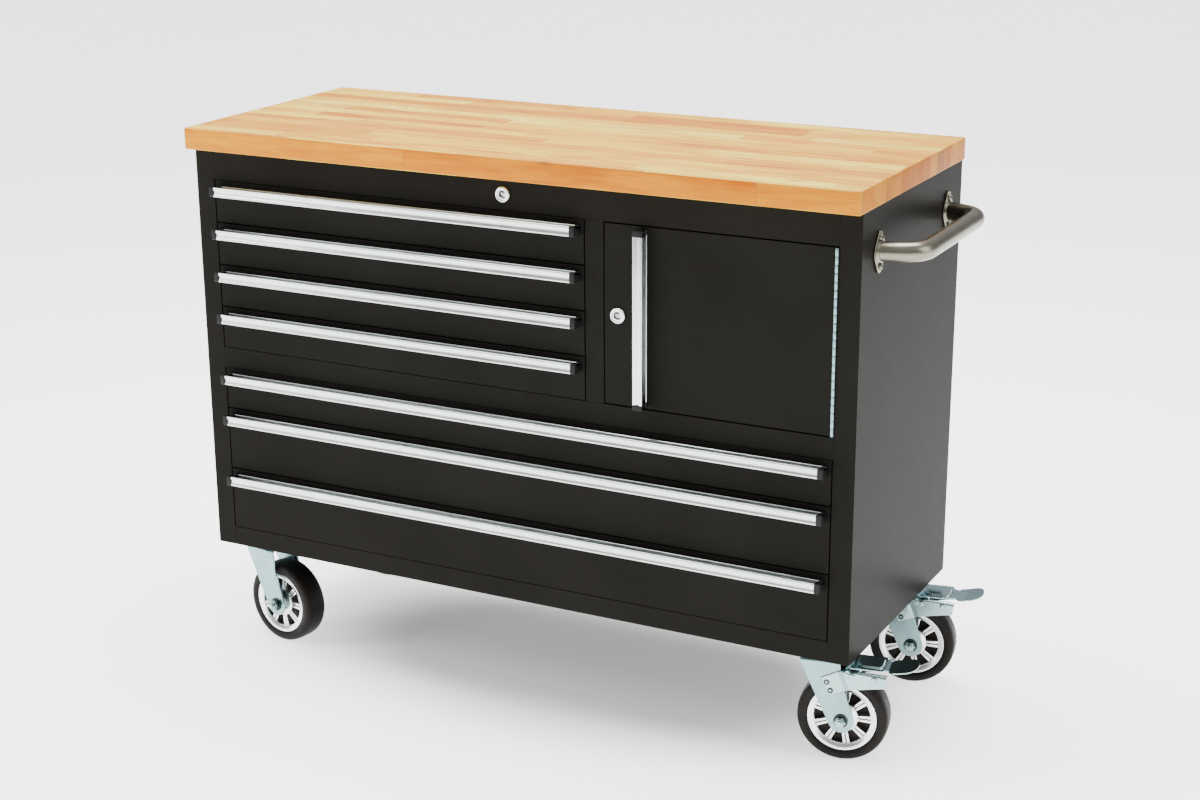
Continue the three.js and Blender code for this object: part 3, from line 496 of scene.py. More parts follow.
def inset_outline(outline, distance):
    """The outline moved inwards, by the mean normal at each point."""
    if not distance:
        return outline
    before, after = outline[-1:] + outline[:-1], outline[1:] + outline[:1]
    area = sum(px * by - bx * py for (px, py), (bx, by) in zip(outline, after))
    sign = 1 if area > 0 else -1
    moved = []
    for (ax, ay), (px, py), (bx, by) in zip(before, outline, after):
        first = Vector((-(py - ay), px - ax))
        second = Vector((-(by - py), bx - px))
        if first.length < 1e-9 or second.length < 1e-9:
            normal = (first + second).normalized()
        else:
            first.normalize()
            second.normalize()
            normal = first + second
            normal /= max(normal.length_squared / 2, 0.5)
        moved.append((px + sign * distance * normal.x, py + sign * distance * normal.y))
    return moved


def finished(made, body, slot, *nodes):
    """Puts a piece on its body and in the place of CAD nodes; its slot is not used."""
    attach(made, body)
    if nodes:
        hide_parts(*nodes)
    return made


def carve(made, cutter, operation="DIFFERENCE"):
    """Cuts one object with another, which is then removed."""
    cut = made.modifiers.new("cut", "BOOLEAN")
    cut.operation, cut.object, cut.solver = operation, cutter, "EXACT"
    view = bpy.context.evaluated_depsgraph_get()
    result = bpy.data.meshes.new_from_object(made.evaluated_get(view))
    made.modifiers.clear()
    made.data = result
    bpy.data.objects.remove(cutter)
    bm = bmesh.new()
    bm.from_mesh(result)
    bmesh.ops.remove_doubles(bm, verts=bm.verts, dist=1e-6)
    shade(bm, SHARP)
    bm.to_mesh(result)
    bm.free()
    return made


def add_bevel(made, width, angle):
    """Rounds the edges that bend by more than an angle in degrees."""
    bevel = made.modifiers.new("edges", "BEVEL")
    bevel.width, bevel.segments = width * MM, 2
    bevel.limit_method, bevel.angle_limit = "ANGLE", math.radians(angle)


def soften(made, width):
    """Rounds an object's hard edges, after joining the triangles of its flat faces."""
    flat = made.modifiers.new("flat", "DECIMATE")
    flat.decimate_type, flat.angle_limit = "DISSOLVE", math.radians(1.0)
    add_bevel(made, width, 35.0)


# ---------------------------------------------------------------- carried-over CAD nodes


def paint(node, material):
    made = frame["nodes"][node]
    made.data.materials.clear()
    made.data.materials.append(material)
    return made


for number in range(1, 8):
    soften(paint(f"drawer_{number}_box", POWDER), 0.7)
for node in (
    "left_side", "right_side", "bottom_pan", "mid_deck", "top_frame", "back_panel", "divider",
):
    soften(paint(node, POWDER), 0.6)
for node in ("cupboard_shelf", "door"):
    soften(paint(node, POWDER), 0.7)
for rack in ("lower_left", "lower_right", "upper_left", "upper_right"):
    paint(f"slides_{rack}", SLIDE_STEEL)


# ---------------------------------------------------------------- worktop


def make_worktop():
    low, high = size_of("worktop")
    build = Build()
    build.box((low.x, high.x), (low.y, high.y), (low.z, high.z), ease=2.5)
    made = build.object("worktop_staves", [WOOD_TOP, WOOD_EDGE, WOOD_END], sharp=60)
    for face in made.data.polygons:
        if abs(face.normal.x) > 0.8:
            face.material_index = 2
        elif abs(face.normal.y) > 0.8:
            face.material_index = 1
    finished(made, "root", "worktop_wood", "worktop")


make_worktop()


# ---------------------------------------------------------------- pulls


def pull_outline(depth, height):
    """The trough's section: u stands out from the face, v runs from the foot to the open edge."""
    wall, lip, back = 2.5, 4.5, 14.7
    nose = lip / 2
    hollow = []
    for i in range(9):
        share = i / 8
        sink = 0.15 + 1.1 * math.sin(math.pi * share)
        hollow.append((depth - sink, 3.4 + (height - 7.4) * share))
    return (
        [(0.3, 0.0)]
        + arc(depth - 2.2, 2.2, 2.2, -90, 0, 5)
        + hollow
        + arc(depth - nose, height - nose, nose, 0, 180, 8)
        + arc(depth - lip - 1.0, wall + 1.0, 1.0, 0, -90, 3)
        + arc(wall + 1.3, wall + 1.0, 1.0, -90, -180, 3)
        + [(wall + 0.3, back - 0.6), (wall - 0.3, back), (0.9, back), (0.3, back - 0.6)]
    )


def cap_outline(depth, height):
    """The end cap covers the trough: a wall behind, a floor below and a rounded nose at the lip."""
    outline = [
        (0.3, -0.2), (depth + 0.25, -0.2),
        (depth + 0.25, height + 0.2), (depth - 5.2, height + 0.2), (depth - 7.0, height - 3.2),
        (4.6, height - 3.8), (3.4, height - 2.2), (0.3, height - 2.2),
    ]
    return rounded(outline, [0.6, 2.8, 2.6, 1.2, 2.0, 1.5, 0.8, 0.6], 4)


CAP_LENGTH = 8.5


def make_pull(name, body, upright=False):
    low, high = size_of(name)
    depth = high.y - low.y
    face = high.y + 0.3
    if upright:
        height = high.x - low.x
        ends = (low.z, high.z)

        def to_3d(point, at):
            return (low.x + point[1], face - point[0], at)
    else:
        height = high.z - low.z
        ends = (low.x, high.x)

        def to_3d(point, at):
            return (at, face - point[0], low.z + point[1])

    build = Build()
    build.prism(pull_outline(depth + 0.3, height), to_3d, *ends, ease=0.25)
    metal_here = ALUMINIUM_UPRIGHT if upright else ALUMINIUM
    made = build.object(f"{name}_extrusion", [metal_here], sharp=24)
    finished(made, body, "aluminium", name)
    build = Build()
    outline = cap_outline(depth + 0.3, height)
    build.prism(outline, to_3d, ends[0] - CAP_LENGTH, ends[0] + 1.0, ease=1.1)
    build.prism(outline, to_3d, ends[1] - 1.0, ends[1] + CAP_LENGTH, ease=1.1)
    made = build.object(f"{name}_end_caps", [CAP_PLASTIC], sharp=40)
    finished(made, body, "black_steel")


for number in range(1, 8):
    make_pull(f"drawer_{number}_pull", f"drawer_{number}")
make_pull("door_pull", "cupboard_door", upright=True)


# ---------------------------------------------------------------- door hinge


def make_hinge():
    """A piano hinge: two leaves with short knuckles that take turns along one pin."""
    post_low, post_high = size_of("door_hinge_post_leaf")
    door_low, door_high = size_of("door_hinge_door_leaf")
    axis = CABINET.inverted() @ Vector(joints["door_hinge"]["pos_m"])
    radius, knuckles, leaf = 2.8, 23, 0.9
    foot, head = post_low.z, post_high.z
    pitch = (head - foot) / knuckles
    sides = (
        ("hinge_post_leaf", "root", "door_hinge_post_leaf", post_low, post_high, 0, 1),
        ("hinge_door_leaf", "cupboard_door", "door_hinge_door_leaf", door_low, door_high, 1, -1),
    )
    for name, body, node, low, high, first, side in sides:
        build = Build()
        outer = axis.x + side * radius
        across = sorted((outer, outer - side * leaf))
        build.box(across, (axis.y + radius + 0.3, high.y), (foot, head), ease=0.2)
        for i in range(first, knuckles, 2):
            ends = (foot + i * pitch + 0.2, foot + (i + 1) * pitch - 0.2)
            build.disc(radius, *ends, at=(axis.x, axis.y, 0), sides=20, ease=0.4)
            build.box(across, (axis.y, axis.y + radius + 0.6), ends, ease=0.1)
        finished(build.object(name, [ZINC]), body, "zinc", node)


make_hinge()


# ---------------------------------------------------------------- locks


def make_lock(name, housing_body, plug_body):
    housing, housing_high = size_of(f"{name}_housing")
    plug, plug_high = size_of(f"{name}_plug")
    x = (plug.x + plug_high.x) / 2
    z = (housing.z + housing_high.z) / 2
    face = housing.y
    radius, barrel, bore = 13.0, 9.5, 6.9
    build = Build()
    profile = [(bore, face + 1.2), (8.6, face + 1.2), (9.0, face + 0.5)]
    for t in (math.pi, 2.4, 1.9, 1.4, 0.9, 0.4):
        profile.append((10.9 + 1.6 * math.cos(t), face + 0.9 - 0.9 * math.sin(t)))
    profile += [(radius, face + 1.6), (radius, -0.3), (barrel, -0.3)]
    profile += [(barrel, housing_high.y), (bore, housing_high.y)]
    build.lathe(profile, at=(x, 0, z), axis="y", sides=48)
    nut = [(9.6, 1.6), (14.0, 1.6), (14.5, 2.2), (14.5, 5.2), (9.6, 5.2)]
    build.lathe(nut, at=(x, 0, z), axis="y", sides=6)
    finished(build.object(f"{name}_bezel", [CHROME]), housing_body, "chrome", f"{name}_housing")
    build = Build()
    build.disc(6.5, face + 0.3, plug_high.y - 1.2, at=(x, 0, z), axis="y", sides=40, ease=0.5)
    cam_low, cam_high = plug_high.y - 2.4, plug_high.y - 0.1
    corners = [(x - 6, plug.z), (x + 6, plug.z), (x + 6, z + 6), (x - 6, z + 6)]
    cam = rounded(corners, [5.5, 5.5, 3, 3], 5)
    build.prism(cam, lambda p, h: (p[0], h, p[1]), cam_low, cam_high, ease=0.3)
    build.hexagon(5.0, cam_high - 0.2, cam_high + 3.0, at=(x, 0, z), axis="y")
    made = build.object(f"{name}_key_plug", [CHROME])
    slot = Build()
    slot.box((x - 0.7, x + 0.7), (face - 1, face + 2.6), (z - 3.6, z + 3.6))
    slot.box((x - 1.3, x + 0.3), (face - 1, face + 2.2), (z - 1.4, z + 0.2))
    carve(made, slot.object("slot", [CORE_PLASTIC]))
    finished(made, plug_body, "chrome", f"{name}_plug")


make_lock("door_lock", "cupboard_door", "door_lock")
make_lock("main_lock", "root", "main_lock")


# ---------------------------------------------------------------- push handle


FLANGE_HALF, FLANGE_END = 22.5, 9.0
WELD = ((-1.0, 0.0), (3.2, 0.0), (2.2, 1.4), (0.9, 3.0), (-1.0, 3.6))
SCREW = (
    (2.6, 1.6), (2.6, 3.9), (3.4, 3.9), (4.6, 3.3), (5.2, 2.2), (5.3, 0.9), (1.2, 0.9), (1.2, 1.6),
)


def make_handle():
    """A bent tube whose legs splay out a little, on two screwed flanges."""
    low, high = size_of("push_handle")
    z = (low.z + high.z) / 2
    radius, splay, bend = 15.5, 18.0, 36.0
    reach = high.x - radius
    face = low.x
    front_leg, rear_leg = low.y + FLANGE_HALF, high.y - FLANGE_HALF
    corners = [
        Vector((face - 5, front_leg, z)),
        Vector((reach, front_leg + splay, z)),
        Vector((reach, rear_leg - splay, z)),
        Vector((face - 5, rear_leg, z)),
    ]
    path = [corners[0].lerp(corners[1], t) for t in (0.0, 0.3, 0.5)]
    for i in (1, 2):
        into = corners[i] + (corners[i - 1] - corners[i]).normalized() * bend
        out = corners[i] + (corners[i + 1] - corners[i]).normalized() * bend
        for k in range(15):
            t = k / 14
            path.append(into * (1 - t) ** 2 + corners[i] * 2 * t * (1 - t) + out * t * t)
    path += [corners[2].lerp(corners[3], t) for t in (0.5, 0.7, 1.0)]
    build = Build()
    build.tube(path, radius, 40)
    made = build.object("push_handle_tube", [STAINLESS])
    behind = Build()
    behind.box((face - 60, face), (low.y - 20, high.y + 20), (low.z - 20, high.z + 20))
    carve(made, behind.object("behind", [STAINLESS]))
    finished(made, "root", "stainless", "push_handle")
    build = Build()
    for leg, lean in ((front_leg, 1), (rear_leg, -1)):
        end_at = (high.z - low.z) / 2 - FLANGE_END
        tilt = math.degrees(math.acos((FLANGE_HALF - FLANGE_END) / end_at))
        outline = (
            arc(leg, z, FLANGE_HALF, -90 + tilt, 90 - tilt, 8)
            + arc(leg, z + end_at, FLANGE_END, 90 - tilt, 90 + tilt, 8)
            + arc(leg, z, FLANGE_HALF, 90 + tilt, 270 - tilt, 8)
            + arc(leg, z - end_at, FLANGE_END, 270 - tilt, 270 + tilt, 8)
        )
        build.prism(outline, lambda p, h: (h, p[0], p[1]), face, face + 3.0, ease=0.8)
        weld = [(radius + out, h) for out, h in WELD]
        build.lathe(weld, at=(face + 2.8, leg + lean * 1.6, z), axis="x", sides=40)
        for side in (-1, 1):
            at = (face + 3.0, leg, z + side * (end_at - 1.5))
            build.disc(6.2, 0.0, 0.9, at=at, axis="x", sides=28, ease=0.2)
            build.lathe(SCREW, at=at, axis="x", sides=24)
    finished(build.object("push_handle_flanges", [STAINLESS]), "root", "stainless")


make_handle()


# ---------------------------------------------------------------- casters

# A caster's own frame, in millimetres: the swivel is the z axis, z runs from the floor, and
# the wheel trails along +x.
TRAIL, AXLE_Z, BASE = 36.0, 75.0, 195.0
FORK_IN, FORK_OUT, FORK_SHEET = 28.0, 31.5, 3.5
CROWN = 178.9
PIN_X, PIN_Z = 45.0, 163.0


def leg_outline():
    """Side view of the pressed fork: wide at the crown, tapering to a round boss."""
    radius, half = 21.0, 33.0
    return (
        [(-half, CROWN + 2), (-half + 0.5, CROWN - 8)]
        + arc(TRAIL, AXLE_Z, radius, 200, 380, 18)
        + [(half + 4.5, 135.0), (half, CROWN - 8), (half, CROWN + 2)]
    )


def make_fork(name, body, matrix):
    """A U of pressed sheet cut to the legs' outline, with a raceway ring on its crown."""
    build = Build()
    sheet = [(-FORK_OUT, 40), (FORK_OUT, 40), (FORK_OUT, CROWN), (-FORK_OUT, CROWN)]
    outer = rounded(sheet, [0.1, 0.1, 6, 6], 5)
    build.prism(outer, lambda p, h: (h, p[0], p[1]), -50, 90)
    made = build.object(f"{name}_pressed_fork", [ZINC], matrix)
    build = Build()
    under = CROWN - FORK_SHEET
    gap = [(-FORK_IN, 20), (FORK_IN, 20), (FORK_IN, under), (-FORK_IN, under)]
    inner = rounded(gap, [0.1, 0.1, 3, 3], 5)
    build.prism(inner, lambda p, h: (h, p[0], p[1]), -60, 100)
    carve(made, build.object("inner", [ZINC], matrix))
    build = Build()
    build.prism(leg_outline(), lambda p, h: (p[0], h, p[1]), -50, 50)
    carve(made, build.object("outline", [ZINC], matrix), "INTERSECT")
    build = Build()
    build.disc(7.4, CROWN - 12, CROWN + 12, sides=24)
    build.disc(5.3, -60, 60, at=(TRAIL, 0, AXLE_Z), axis="y", sides=24)
    carve(made, build.object("holes", [ZINC], matrix))
    add_bevel(made, 0.6, 50.0)
    finished(made, body, "zinc", f"{name}_fork")
    build = Build()
    race = [(12, 0), (36.5, 0), (38, 1.5), (38, 4.2), (36.2, 6), (12, 6)]
    build.lathe([(r, CROWN + h) for r, h in race], sides=56)
    build.lathe([(24, CROWN - 4.8), (27, CROWN - 4.8), (28, CROWN - 3.6), (23, CROWN - 3.6)])
    finished(build.object(f"{name}_lower_raceway", [ZINC], matrix), body, "zinc")


def make_plate(name, matrix):
    """The fixed plate with its bolts, upper raceway and kingpin."""
    low, high = BASE - 3.8, BASE - 0.3
    build = Build()
    outline = rounded_rectangle((-52.5, 52.5), (-42.5, 42.5), 9, 6)
    build.prism(outline, lambda p, h: (p[0], p[1], h), low, high, ease=0.6)
    for x in (-42, 42):
        for y in (-31, 31):
            build.disc(8.4, low - 1.3, low - 0.05, at=(x, y, 0), sides=28, ease=0.3)
            build.hexagon(7.0, low - 6.6, low - 1.3, at=(x, y, 0))
            build.disc(3.9, low - 9.0, low - 6.7, at=(x, y, 0), sides=20, ease=0.6)
    race = [(9, 0.2), (34, 0.2), (37.2, -1.2), (38, -2.6), (38, -5.2), (37, -5.9), (9, -5.9)]
    build.lathe([(r, low + h) for r, h in race], sides=56)
    build.disc(6.9, CROWN - 7.2, low, sides=28)
    build.hexagon(11.5, CROWN - 7.4, CROWN - 4.9)
    made = build.object(f"{name}_top_plate", [ZINC], matrix)
    finished(made, "root", "zinc", f"{name}_caster_plate")


def make_axle(name, body, matrix):
    """The axle bolt, with washers, a nut on one side and a head on the other."""
    build = Build()
    at = (TRAIL, 0, AXLE_Z)
    seat = FORK_OUT + 0.3
    build.disc(5.0, -seat - 14.5, seat + 7.0, at=at, axis="y", sides=24, ease=0.9)
    # The washers take the dark steel as painted shade round the nut and the head.
    for side in (-1, 1):
        washer = sorted((side * seat, side * (seat + 1.4)))
        build.disc(12.0, *washer, at=at, axis="y", sides=36, ease=0.3, material=1)
    build.hexagon(9.4, -seat - 8.6, -seat - 1.4, at=at, axis="y")
    # A thin dark ring on the nut's outer face, round the bolt's end, is painted shade.
    build.disc(7.6, -seat - 8.9, -seat - 8.3, at=at, axis="y", sides=28, material=1)
    build.disc(6.9, -seat - 11.0, -seat - 8.8, at=at, axis="y", sides=28, ease=0.8)
    build.hexagon(9.2, seat + 1.4, seat + 7.4, at=at, axis="y")
    made = build.object(f"{name}_axle_bolt", [PALE_ZINC_AND_PAINTED_HIGHLIGHT, RIVET_STEEL_AND_PAINTED_SHADE], matrix)
    finished(made, body, "zinc", f"{name}_axle")


# Half sections of the wheel, as (radius, distance from the middle).
LIP = (
    (50.0, 6.0), (46.6, 13.0), (46.0, 16.6), (47.0, 18.2),
    (50.5, 19.6), (54.0, 21.0), (56.2, 21.0), (57.0, 19.6),
)
BARREL = (
    (5.6, 0), (24.0, 0), (26.0, 14.0), (25.2, 16.4),
    (20.0, 18.2), (13.5, 20.0), (12.5, 26.8), (5.6, 26.8),
)
CORE = ((51.2, 9.0), (44.0, 6.0), (30.0, 4.0), (19.0, 5.0))
TYRE = (
    (57.2, 19.5), (59.0, 21.4), (62.0, 22.3), (66.0, 22.8), (69.5, 22.2),
    (72.0, 20.6), (73.7, 17.6), (74.6, 12.0), (74.9, 6.0),
)
SPOKES = 9


def both_sides(half):
    """A half section followed by its mirror image, run backwards."""
    return [(r, h) for r, h in half] + [(r, -h) for r, h in reversed(half)]


def make_hub(name, body, matrix):
    """Bright rim and nine twin spokes round a barrel, over a dark plastic core."""
    at = (TRAIL, 0, AXLE_Z)

    def wheel_point(point, h):
        return (TRAIL + point[0], h, AXLE_Z + point[1])

    build = Build()
    build.lathe(both_sides(LIP), at=at, axis="y", sides=72)
    for side in (-1, 1):
        build.lathe([(r, side * h) for r, h in BARREL], at=at, axis="y", sides=48)
    for i in range(SPOKES):
        angle = 2 * math.pi * (i + 0.5) / SPOKES + 0.35
        c, s = math.cos(angle), math.sin(angle)
        for rail in (-1, 1):
            near, far = rail * 2.5, rail * 3.6
            across = [(21.0, near - 1.9), (21.0, near + 1.9), (49.6, far + 2.7), (49.6, far - 2.7)]
            outline = [(r * c - w * s, r * s + w * c) for r, w in across]
            build.prism(outline, wheel_point, -16.2, 16.2, ease=0.9)
    made = build.object(f"{name}_spoked_centre", [WHEEL_METAL], matrix)
    finished(made, body, "wheel_centre", f"{name}_wheel_hub")
    build = Build()
    build.lathe(both_sides(CORE), at=at, axis="y", sides=60)
    finished(build.object(f"{name}_core", [CORE_PLASTIC], matrix), body, "tyre")


def make_tyre(name, body, matrix):
    at = (TRAIL, 0, AXLE_Z)
    profile = [(r, -y) for r, y in TYRE] + [(75.0, 0.0)] + [(r, y) for r, y in reversed(TYRE)]
    build = Build()
    build.lathe(profile, at=at, axis="y", sides=96)
    made = build.object(f"{name}_rubber_tyre", [RUBBER], matrix, sharp=45)
    finished(made, body, "tyre", f"{name}_tyre")


def between(table, at):
    """Reads a value off a table of (place, value) rows, with straight lines between them."""
    for (low, first), (high, second) in zip(table, table[1:]):
        if at <= high:
            break
    share = max(0.0, min(1.0, (at - low) / (high - low)))
    return first + (second - first) * share


def smooth(t):
    t = max(0.0, min(1.0, t))
    return t * t * (3 - 2 * t)


# A brake cheek from the side, as (x, z) points: the tab's corners, the cheek's two end lines as
# (z, x) rows, and its lower and upper edges.
TAB = ((2.7, 148.0), (29.0, 161.0), (41.7, 128.5), (13.2, 117.1))
CHEEK_START = ((132.8, 49.0), (164.3, 37.4))
CHEEK_END = ((141.8, 106.0), (155.0, 108.0))
CHEEK_FOOT = ((49.0, 132.8), (67.0, 136.0), (106.0, 141.8))
CHEEK_HEAD = ((37.4, 164.3), (55.0, 165.0), (108.0, 162.0))
RIVETS = ((11.8, 141.2), (17.9, 127.0))
RIVET_RING = ((2.3, 0.0), (4.7, 0.0), (4.7, 0.9), (4.0, 1.7), (3.0, 1.7), (2.3, 1.0))
CHEEK_PINS = ((52.0, 156.6), (88.0, 154.4))
CHEEK_OFFSET, BRAKE_SHEET = 3.2, 1.5
TURNED_IN = 29.6  # how near the wheel's middle plane the bent top edge ends


def cheek_rings(outer, side):
    """Sections across one cheek: a plain wall whose top edge is bent inwards."""
    rings = []
    for i in range(25):
        share = i / 24
        middle = 43.0 + 64.0 * share
        head = between(CHEEK_HEAD, middle)
        bend = 3.2 + 2.0 * share
        section = [(outer, between(CHEEK_FOOT, middle))]
        section += arc(outer - bend, head - bend, bend, 0, 90, 6)
        section += [(TURNED_IN, head), (TURNED_IN, head - BRAKE_SHEET)]
        section += arc(outer - bend, head - bend, bend - BRAKE_SHEET, 90, 0, 6)
        section += [(outer - BRAKE_SHEET, section[0][1])]
        ring = []
        for y, z in section:
            x = between(CHEEK_START, z) * (1 - share) + between(CHEEK_END, z) * share
            ring.append((x, side * y, z))
        rings.append(ring)
    return rings


def make_cheeks(name, body, matrix):
    """Two cheeks, each stepped out from a tab that is riveted to its leg, and the pedal's pin."""
    inner = FORK_OUT + 0.3
    face = CHEEK_OFFSET + BRAKE_SHEET
    outer = inner + CHEEK_OFFSET + BRAKE_SHEET
    root = 0.1
    tab = rounded(TAB, [3, 1, 1, 3], 4)
    build = Build()

    def flat(p, h):
        return (p[0], h, p[1])

    for side in (-1, 1):

        def span(low, high):
            return sorted((side * (inner + low), side * (inner + high)))

        # A dark rim a little wider than each tab, under it, paints the shadow gap round the tab.
        build.prism(inset_outline(tab, -0.8), flat, *span(0.0, 0.3), material=1)
        build.prism(tab, flat, *span(0.2, 1.6), ease=0.3)
        # The slanted step from the tab out to the cheek takes the darker blue zinc as painted
        # shade.
        step = []
        for near, far in ((TAB[1], CHEEK_HEAD[0]), (TAB[2], CHEEK_FOOT[0])):
            edge = [(*near, root), (*near, root + BRAKE_SHEET), (*far, face), (*far, CHEEK_OFFSET)]
            step.append([(x, side * (inner + y), z) for x, z, y in edge])
        build.solid(step, material=2)
        build.solid(cheek_rings(outer, side))
        for x, z in RIVETS:
            ring = [(r, side * (inner + 1.5 + h)) for r, h in RIVET_RING]
            build.lathe(ring, at=(x, 0, z), axis="y", sides=28, material=1)
            build.disc(2.4, *span(0.0, 2.4), at=(x, 0, z), axis="y", sides=20, material=2)
        # A dark disc set a little higher under each pin paints the shade crescent at its top.
        for x, z in CHEEK_PINS:
            shadow, pin = span(face - 1.0, face + 0.35), span(face - 1.0, face + 1.2)
            build.disc(4.8, *shadow, at=(x, 0, z + 0.9), axis="y", sides=28, material=1)
            build.disc(4.5, *pin, at=(x, 0, z), axis="y", sides=28, ease=0.8)
        end = span(face - 1.0, face + 1.6)
        build.disc(3.6, *end, at=(PIN_X, 0, PIN_Z - 4.5), axis="y", sides=24, ease=0.9)
    build.disc(3.0, -outer, outer, at=(PIN_X, 0, PIN_Z), axis="y", sides=24)
    bridge = inner + CHEEK_OFFSET
    build.box((PIN_X - 5, PIN_X + 5), (-bridge, bridge), (155.0, 156.5), ease=0.2)
    made = build.object(f"{name}_brake_cheeks", [PALE_ZINC_AND_PAINTED_HIGHLIGHT, RIVET_STEEL_AND_PAINTED_SHADE, ZINC], matrix)
    finished(made, body, "zinc", f"{name}_brake_housing")


# The pedal, as rows of (x, half width) and (x, height of its top), and where its end rounds off.
PEDAL_TIP, PEDAL_ROUND, PADDLE_HALF = 155.0, 134.0, 27.5
PEDAL_WIDTH = (
    (45.0, 29.0), (99.0, 29.0), (103.0, 20.0), (109.0, 19.0),
    (115.0, 26.5), (121.0, PADDLE_HALF), (PEDAL_ROUND, PADDLE_HALF),
)
PEDAL_TOP = (
    (45.0, 168.2), (99.0, 168.2), (109.0, 165.6), (122.0, 166.6), (138.0, 170.2), (155.0, 174.2),
)
PEDAL_SHEET = 1.7
PANEL = (56.0, 98.0, 19.0)


def pedal_width(x):
    if x < PEDAL_ROUND:
        return between(PEDAL_WIDTH, x)
    share = (x - PEDAL_ROUND) / (PEDAL_TIP - PEDAL_ROUND)
    return PADDLE_HALF * math.sqrt(max(0.0, 1 - share**2.6)) + 0.6


def panel_depth(x, y):
    """How far a point lies inside the raised panel, whose ends are rounded at its corners."""
    corner = 6.0
    start, end, half = PANEL
    across, along = half - abs(y), min(x - start, end - x)
    if across < corner and along < corner:
        return corner - math.hypot(corner - across, corner - along)
    return min(across, along)


def pedal_height(x, y):
    if x > 100:
        return between(PEDAL_TOP, x)
    depth = panel_depth(x, y)
    raised = 2.2 * smooth(depth / 1.3 + 0.5)
    groove = math.exp(-(((depth + 2.0) / 0.9) ** 2))
    return between(PEDAL_TOP, x) + raised - groove


def make_pedal(name, pedal_body, matrix):
    """The pedal that turns on the pin: a plate with a raised panel, and a paddle that sweeps up."""
    half = 29.3
    stations, columns = 92, 36
    build = Build()
    upper, lower = [], []
    for i in range(stations + 1):
        x = PIN_X + (PEDAL_TIP - PIN_X) * i / stations
        row = [(x, pedal_width(x) * (2 * k / columns - 1)) for k in range(columns + 1)]
        upper.append([build.bm.verts.new((x, y, pedal_height(x, y))) for x, y in row])
        below = [(x, y, pedal_height(x, y) - PEDAL_SHEET) for x, y in row]
        lower.append([build.bm.verts.new(point) for point in below])
    for i in range(stations):
        for k in range(columns):
            a, b, c, d = upper[i][k], upper[i + 1][k], upper[i + 1][k + 1], upper[i][k + 1]
            top = build.bm.faces.new((a, b, c, d))
            x, y, _ = top.calc_center_median()
            # Faces on the slope round the raised panel take the pale zinc as a painted highlight.
            top.material_index = 1 if x < 100 and abs(panel_depth(x, y)) < 0.55 else 0
            a, b, c, d = lower[i][k], lower[i + 1][k], lower[i + 1][k + 1], lower[i][k + 1]
            build.bm.faces.new((d, c, b, a))
        # The sheet's cut edges, along both sides and across both ends, take the pale zinc as a
        # painted highlight.
        for k in (0, columns):
            quad = (upper[i][k], lower[i][k], lower[i + 1][k], upper[i + 1][k])
            build.bm.faces.new(quad if k == 0 else tuple(reversed(quad))).material_index = 1
    for i in (0, stations):
        for k in range(columns):
            quad = (upper[i][k], upper[i][k + 1], lower[i][k + 1], lower[i][k])
            build.bm.faces.new(quad if i == 0 else tuple(reversed(quad))).material_index = 1
    eye = [
        (3.4, -half), (4.6, -half), (5.2, -half + 0.6), (5.2, half - 0.6), (4.6, half), (3.4, half),
    ]
    build.lathe(eye, at=(PIN_X, 0, PIN_Z), axis="y", sides=32)
    build.box((PIN_X + 8, PIN_X + 18), (-22, 22), (152.2, 167.0), ease=0.6)
    made = build.object(f"{name}_pedal_plate", [PEDAL_ZINC, PALE_ZINC_AND_PAINTED_HIGHLIGHT], matrix, sharp=32)
    finished(made, pedal_body, "zinc", f"{name}_brake_pedal")


for end in ("front", "rear"):
    for side in ("left", "right"):
        name = f"{end}_{side}"
        swivel = Vector(joints[f"{name}_swivel"]["pos_m"])
        across = Vector(joints[f"{name}_wheel_turn"]["axis"])
        turn = math.atan2(-across.x, across.y)
        on_floor = Matrix.Translation((swivel.x, swivel.y, 0))
        fixed = on_floor @ Matrix.Scale(MM, 4)
        turned = on_floor @ Matrix.Rotation(turn, 4, "Z") @ Matrix.Scale(MM, 4)
        make_plate(name, fixed)
        make_fork(name, f"{name}_caster", turned)
        make_axle(name, f"{name}_caster", turned)
        make_hub(name, f"{name}_wheel", turned)
        make_tyre(name, f"{name}_wheel", turned)
        if side == "right":
            make_cheeks(name, f"{name}_caster", turned)
            make_pedal(name, f"{name}_pedal", turned)


# ---------------------------------------------------------------- studio


def area_light(name, at, aim, size, power):
    data = bpy.data.lights.new(name, "AREA")
    data.shape, data.size, data.size_y = "RECTANGLE", *size
    data.energy = power
    made = bpy.data.objects.new(name, data)
    made.location = at
    made.rotation_euler = (Vector(aim) - Vector(at)).to_track_quat("-Z", "Y").to_euler()
    bpy.context.scene.collection.objects.link(made)


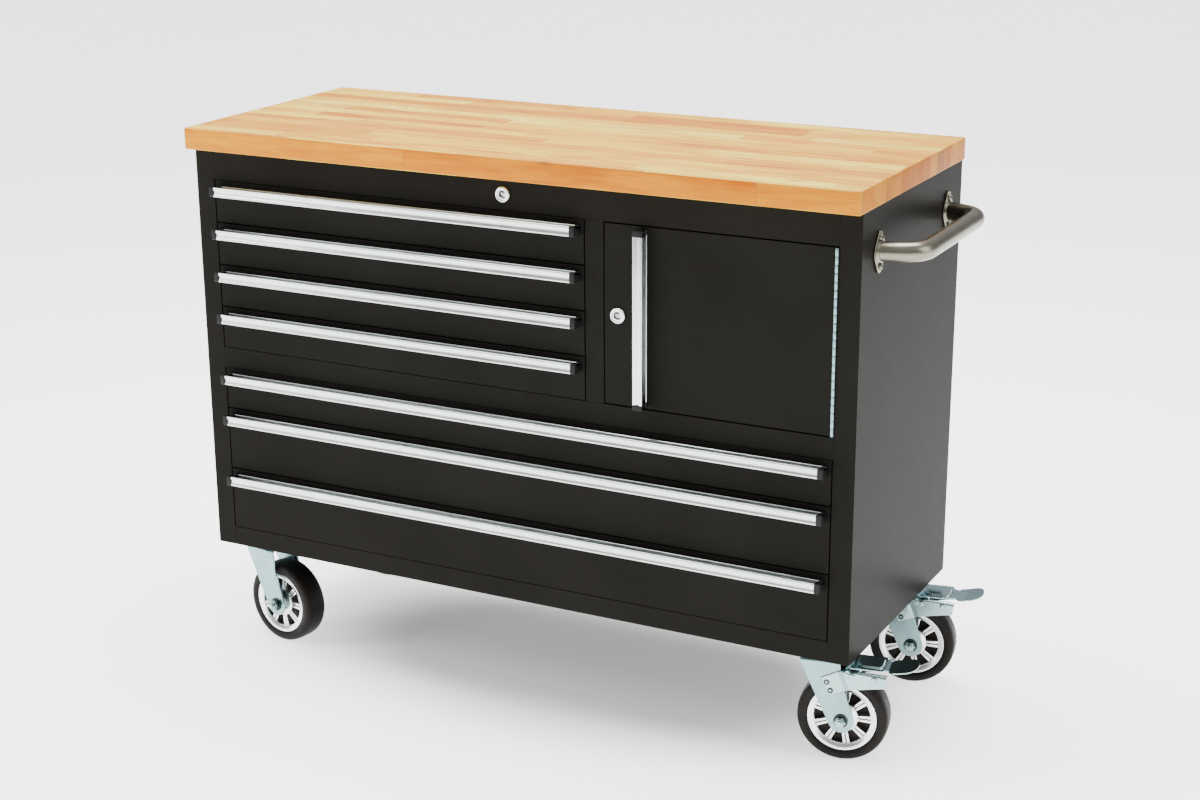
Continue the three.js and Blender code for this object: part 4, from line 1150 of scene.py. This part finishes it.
FLOOR_GLOW, FLOOR_HALF = 2.3, 14
WORLD_BANDS = ((0.0, 0.20), (0.08, 0.95), (0.20, 0.15), (0.33, 0.75), (0.55, 0.9), (1.0, 1.0))


def make_floor():
    m = Nodes("studio_floor", Roughness=0.9, Specular_IOR_Level=0.1, Emission_Color=(1, 1, 1, 1))
    m.colour(m.ramp(m.noise(0.6, 2.0), (0.3, 0.88), (0.7, 0.92)))
    # The lit floor glows less under the bench, where the real one lies in soft shade.
    reach = m.node("VectorMath", operation="LENGTH")
    m.feed(reach.inputs[0], m.stretched((1 / 0.78, 1 / 0.42, 0.0)))
    glow = m.ramp(reach.outputs["Value"], (0.45, 0.12), (1.25, 1.0), easing="EASE")
    m.feed(m.shader.inputs["Emission Strength"], m.math("MULTIPLY", glow, FLOOR_GLOW))
    build = Build()
    corners = rectangle((-FLOOR_HALF, FLOOR_HALF), (-FLOOR_HALF, FLOOR_HALF))
    build.bm.faces.new([build.bm.verts.new((x, y, 0)) for x, y in corners])
    build.object("studio_floor", [m.material], Matrix.Identity(4))


def make_world():
    """Plain surroundings, in bands of grey by height, that the metal reflects."""
    world = bpy.data.worlds.new("studio")
    bpy.context.scene.world = world
    world.use_nodes = True
    tree = world.node_tree
    background = tree.nodes["Background"]
    direction = tree.nodes.new("ShaderNodeTexCoord")
    split = tree.nodes.new("ShaderNodeSeparateXYZ")
    bands = tree.nodes.new("ShaderNodeValToRGB")
    tree.links.new(direction.outputs["Generated"], split.inputs[0])
    tree.links.new(split.outputs[2], bands.inputs[0])
    tree.links.new(bands.outputs[0], background.inputs["Color"])
    fill_ramp(bands.color_ramp, WORLD_BANDS)
    background.inputs["Strength"].default_value = 0.85


make_floor()
make_world()
area_light("overhead", (-0.3, 0.3, 3.4), (0, 0, 0.6), (3.4, 2.0), 290)
area_light("left_front", (-3.0, -2.2, 2.2), (0, 0, 0.5), (1.0, 2.0), 70)
area_light("right", (3.4, 0.4, 2.0), (0.6, 0, 0.5), (1.6, 2.4), 50)
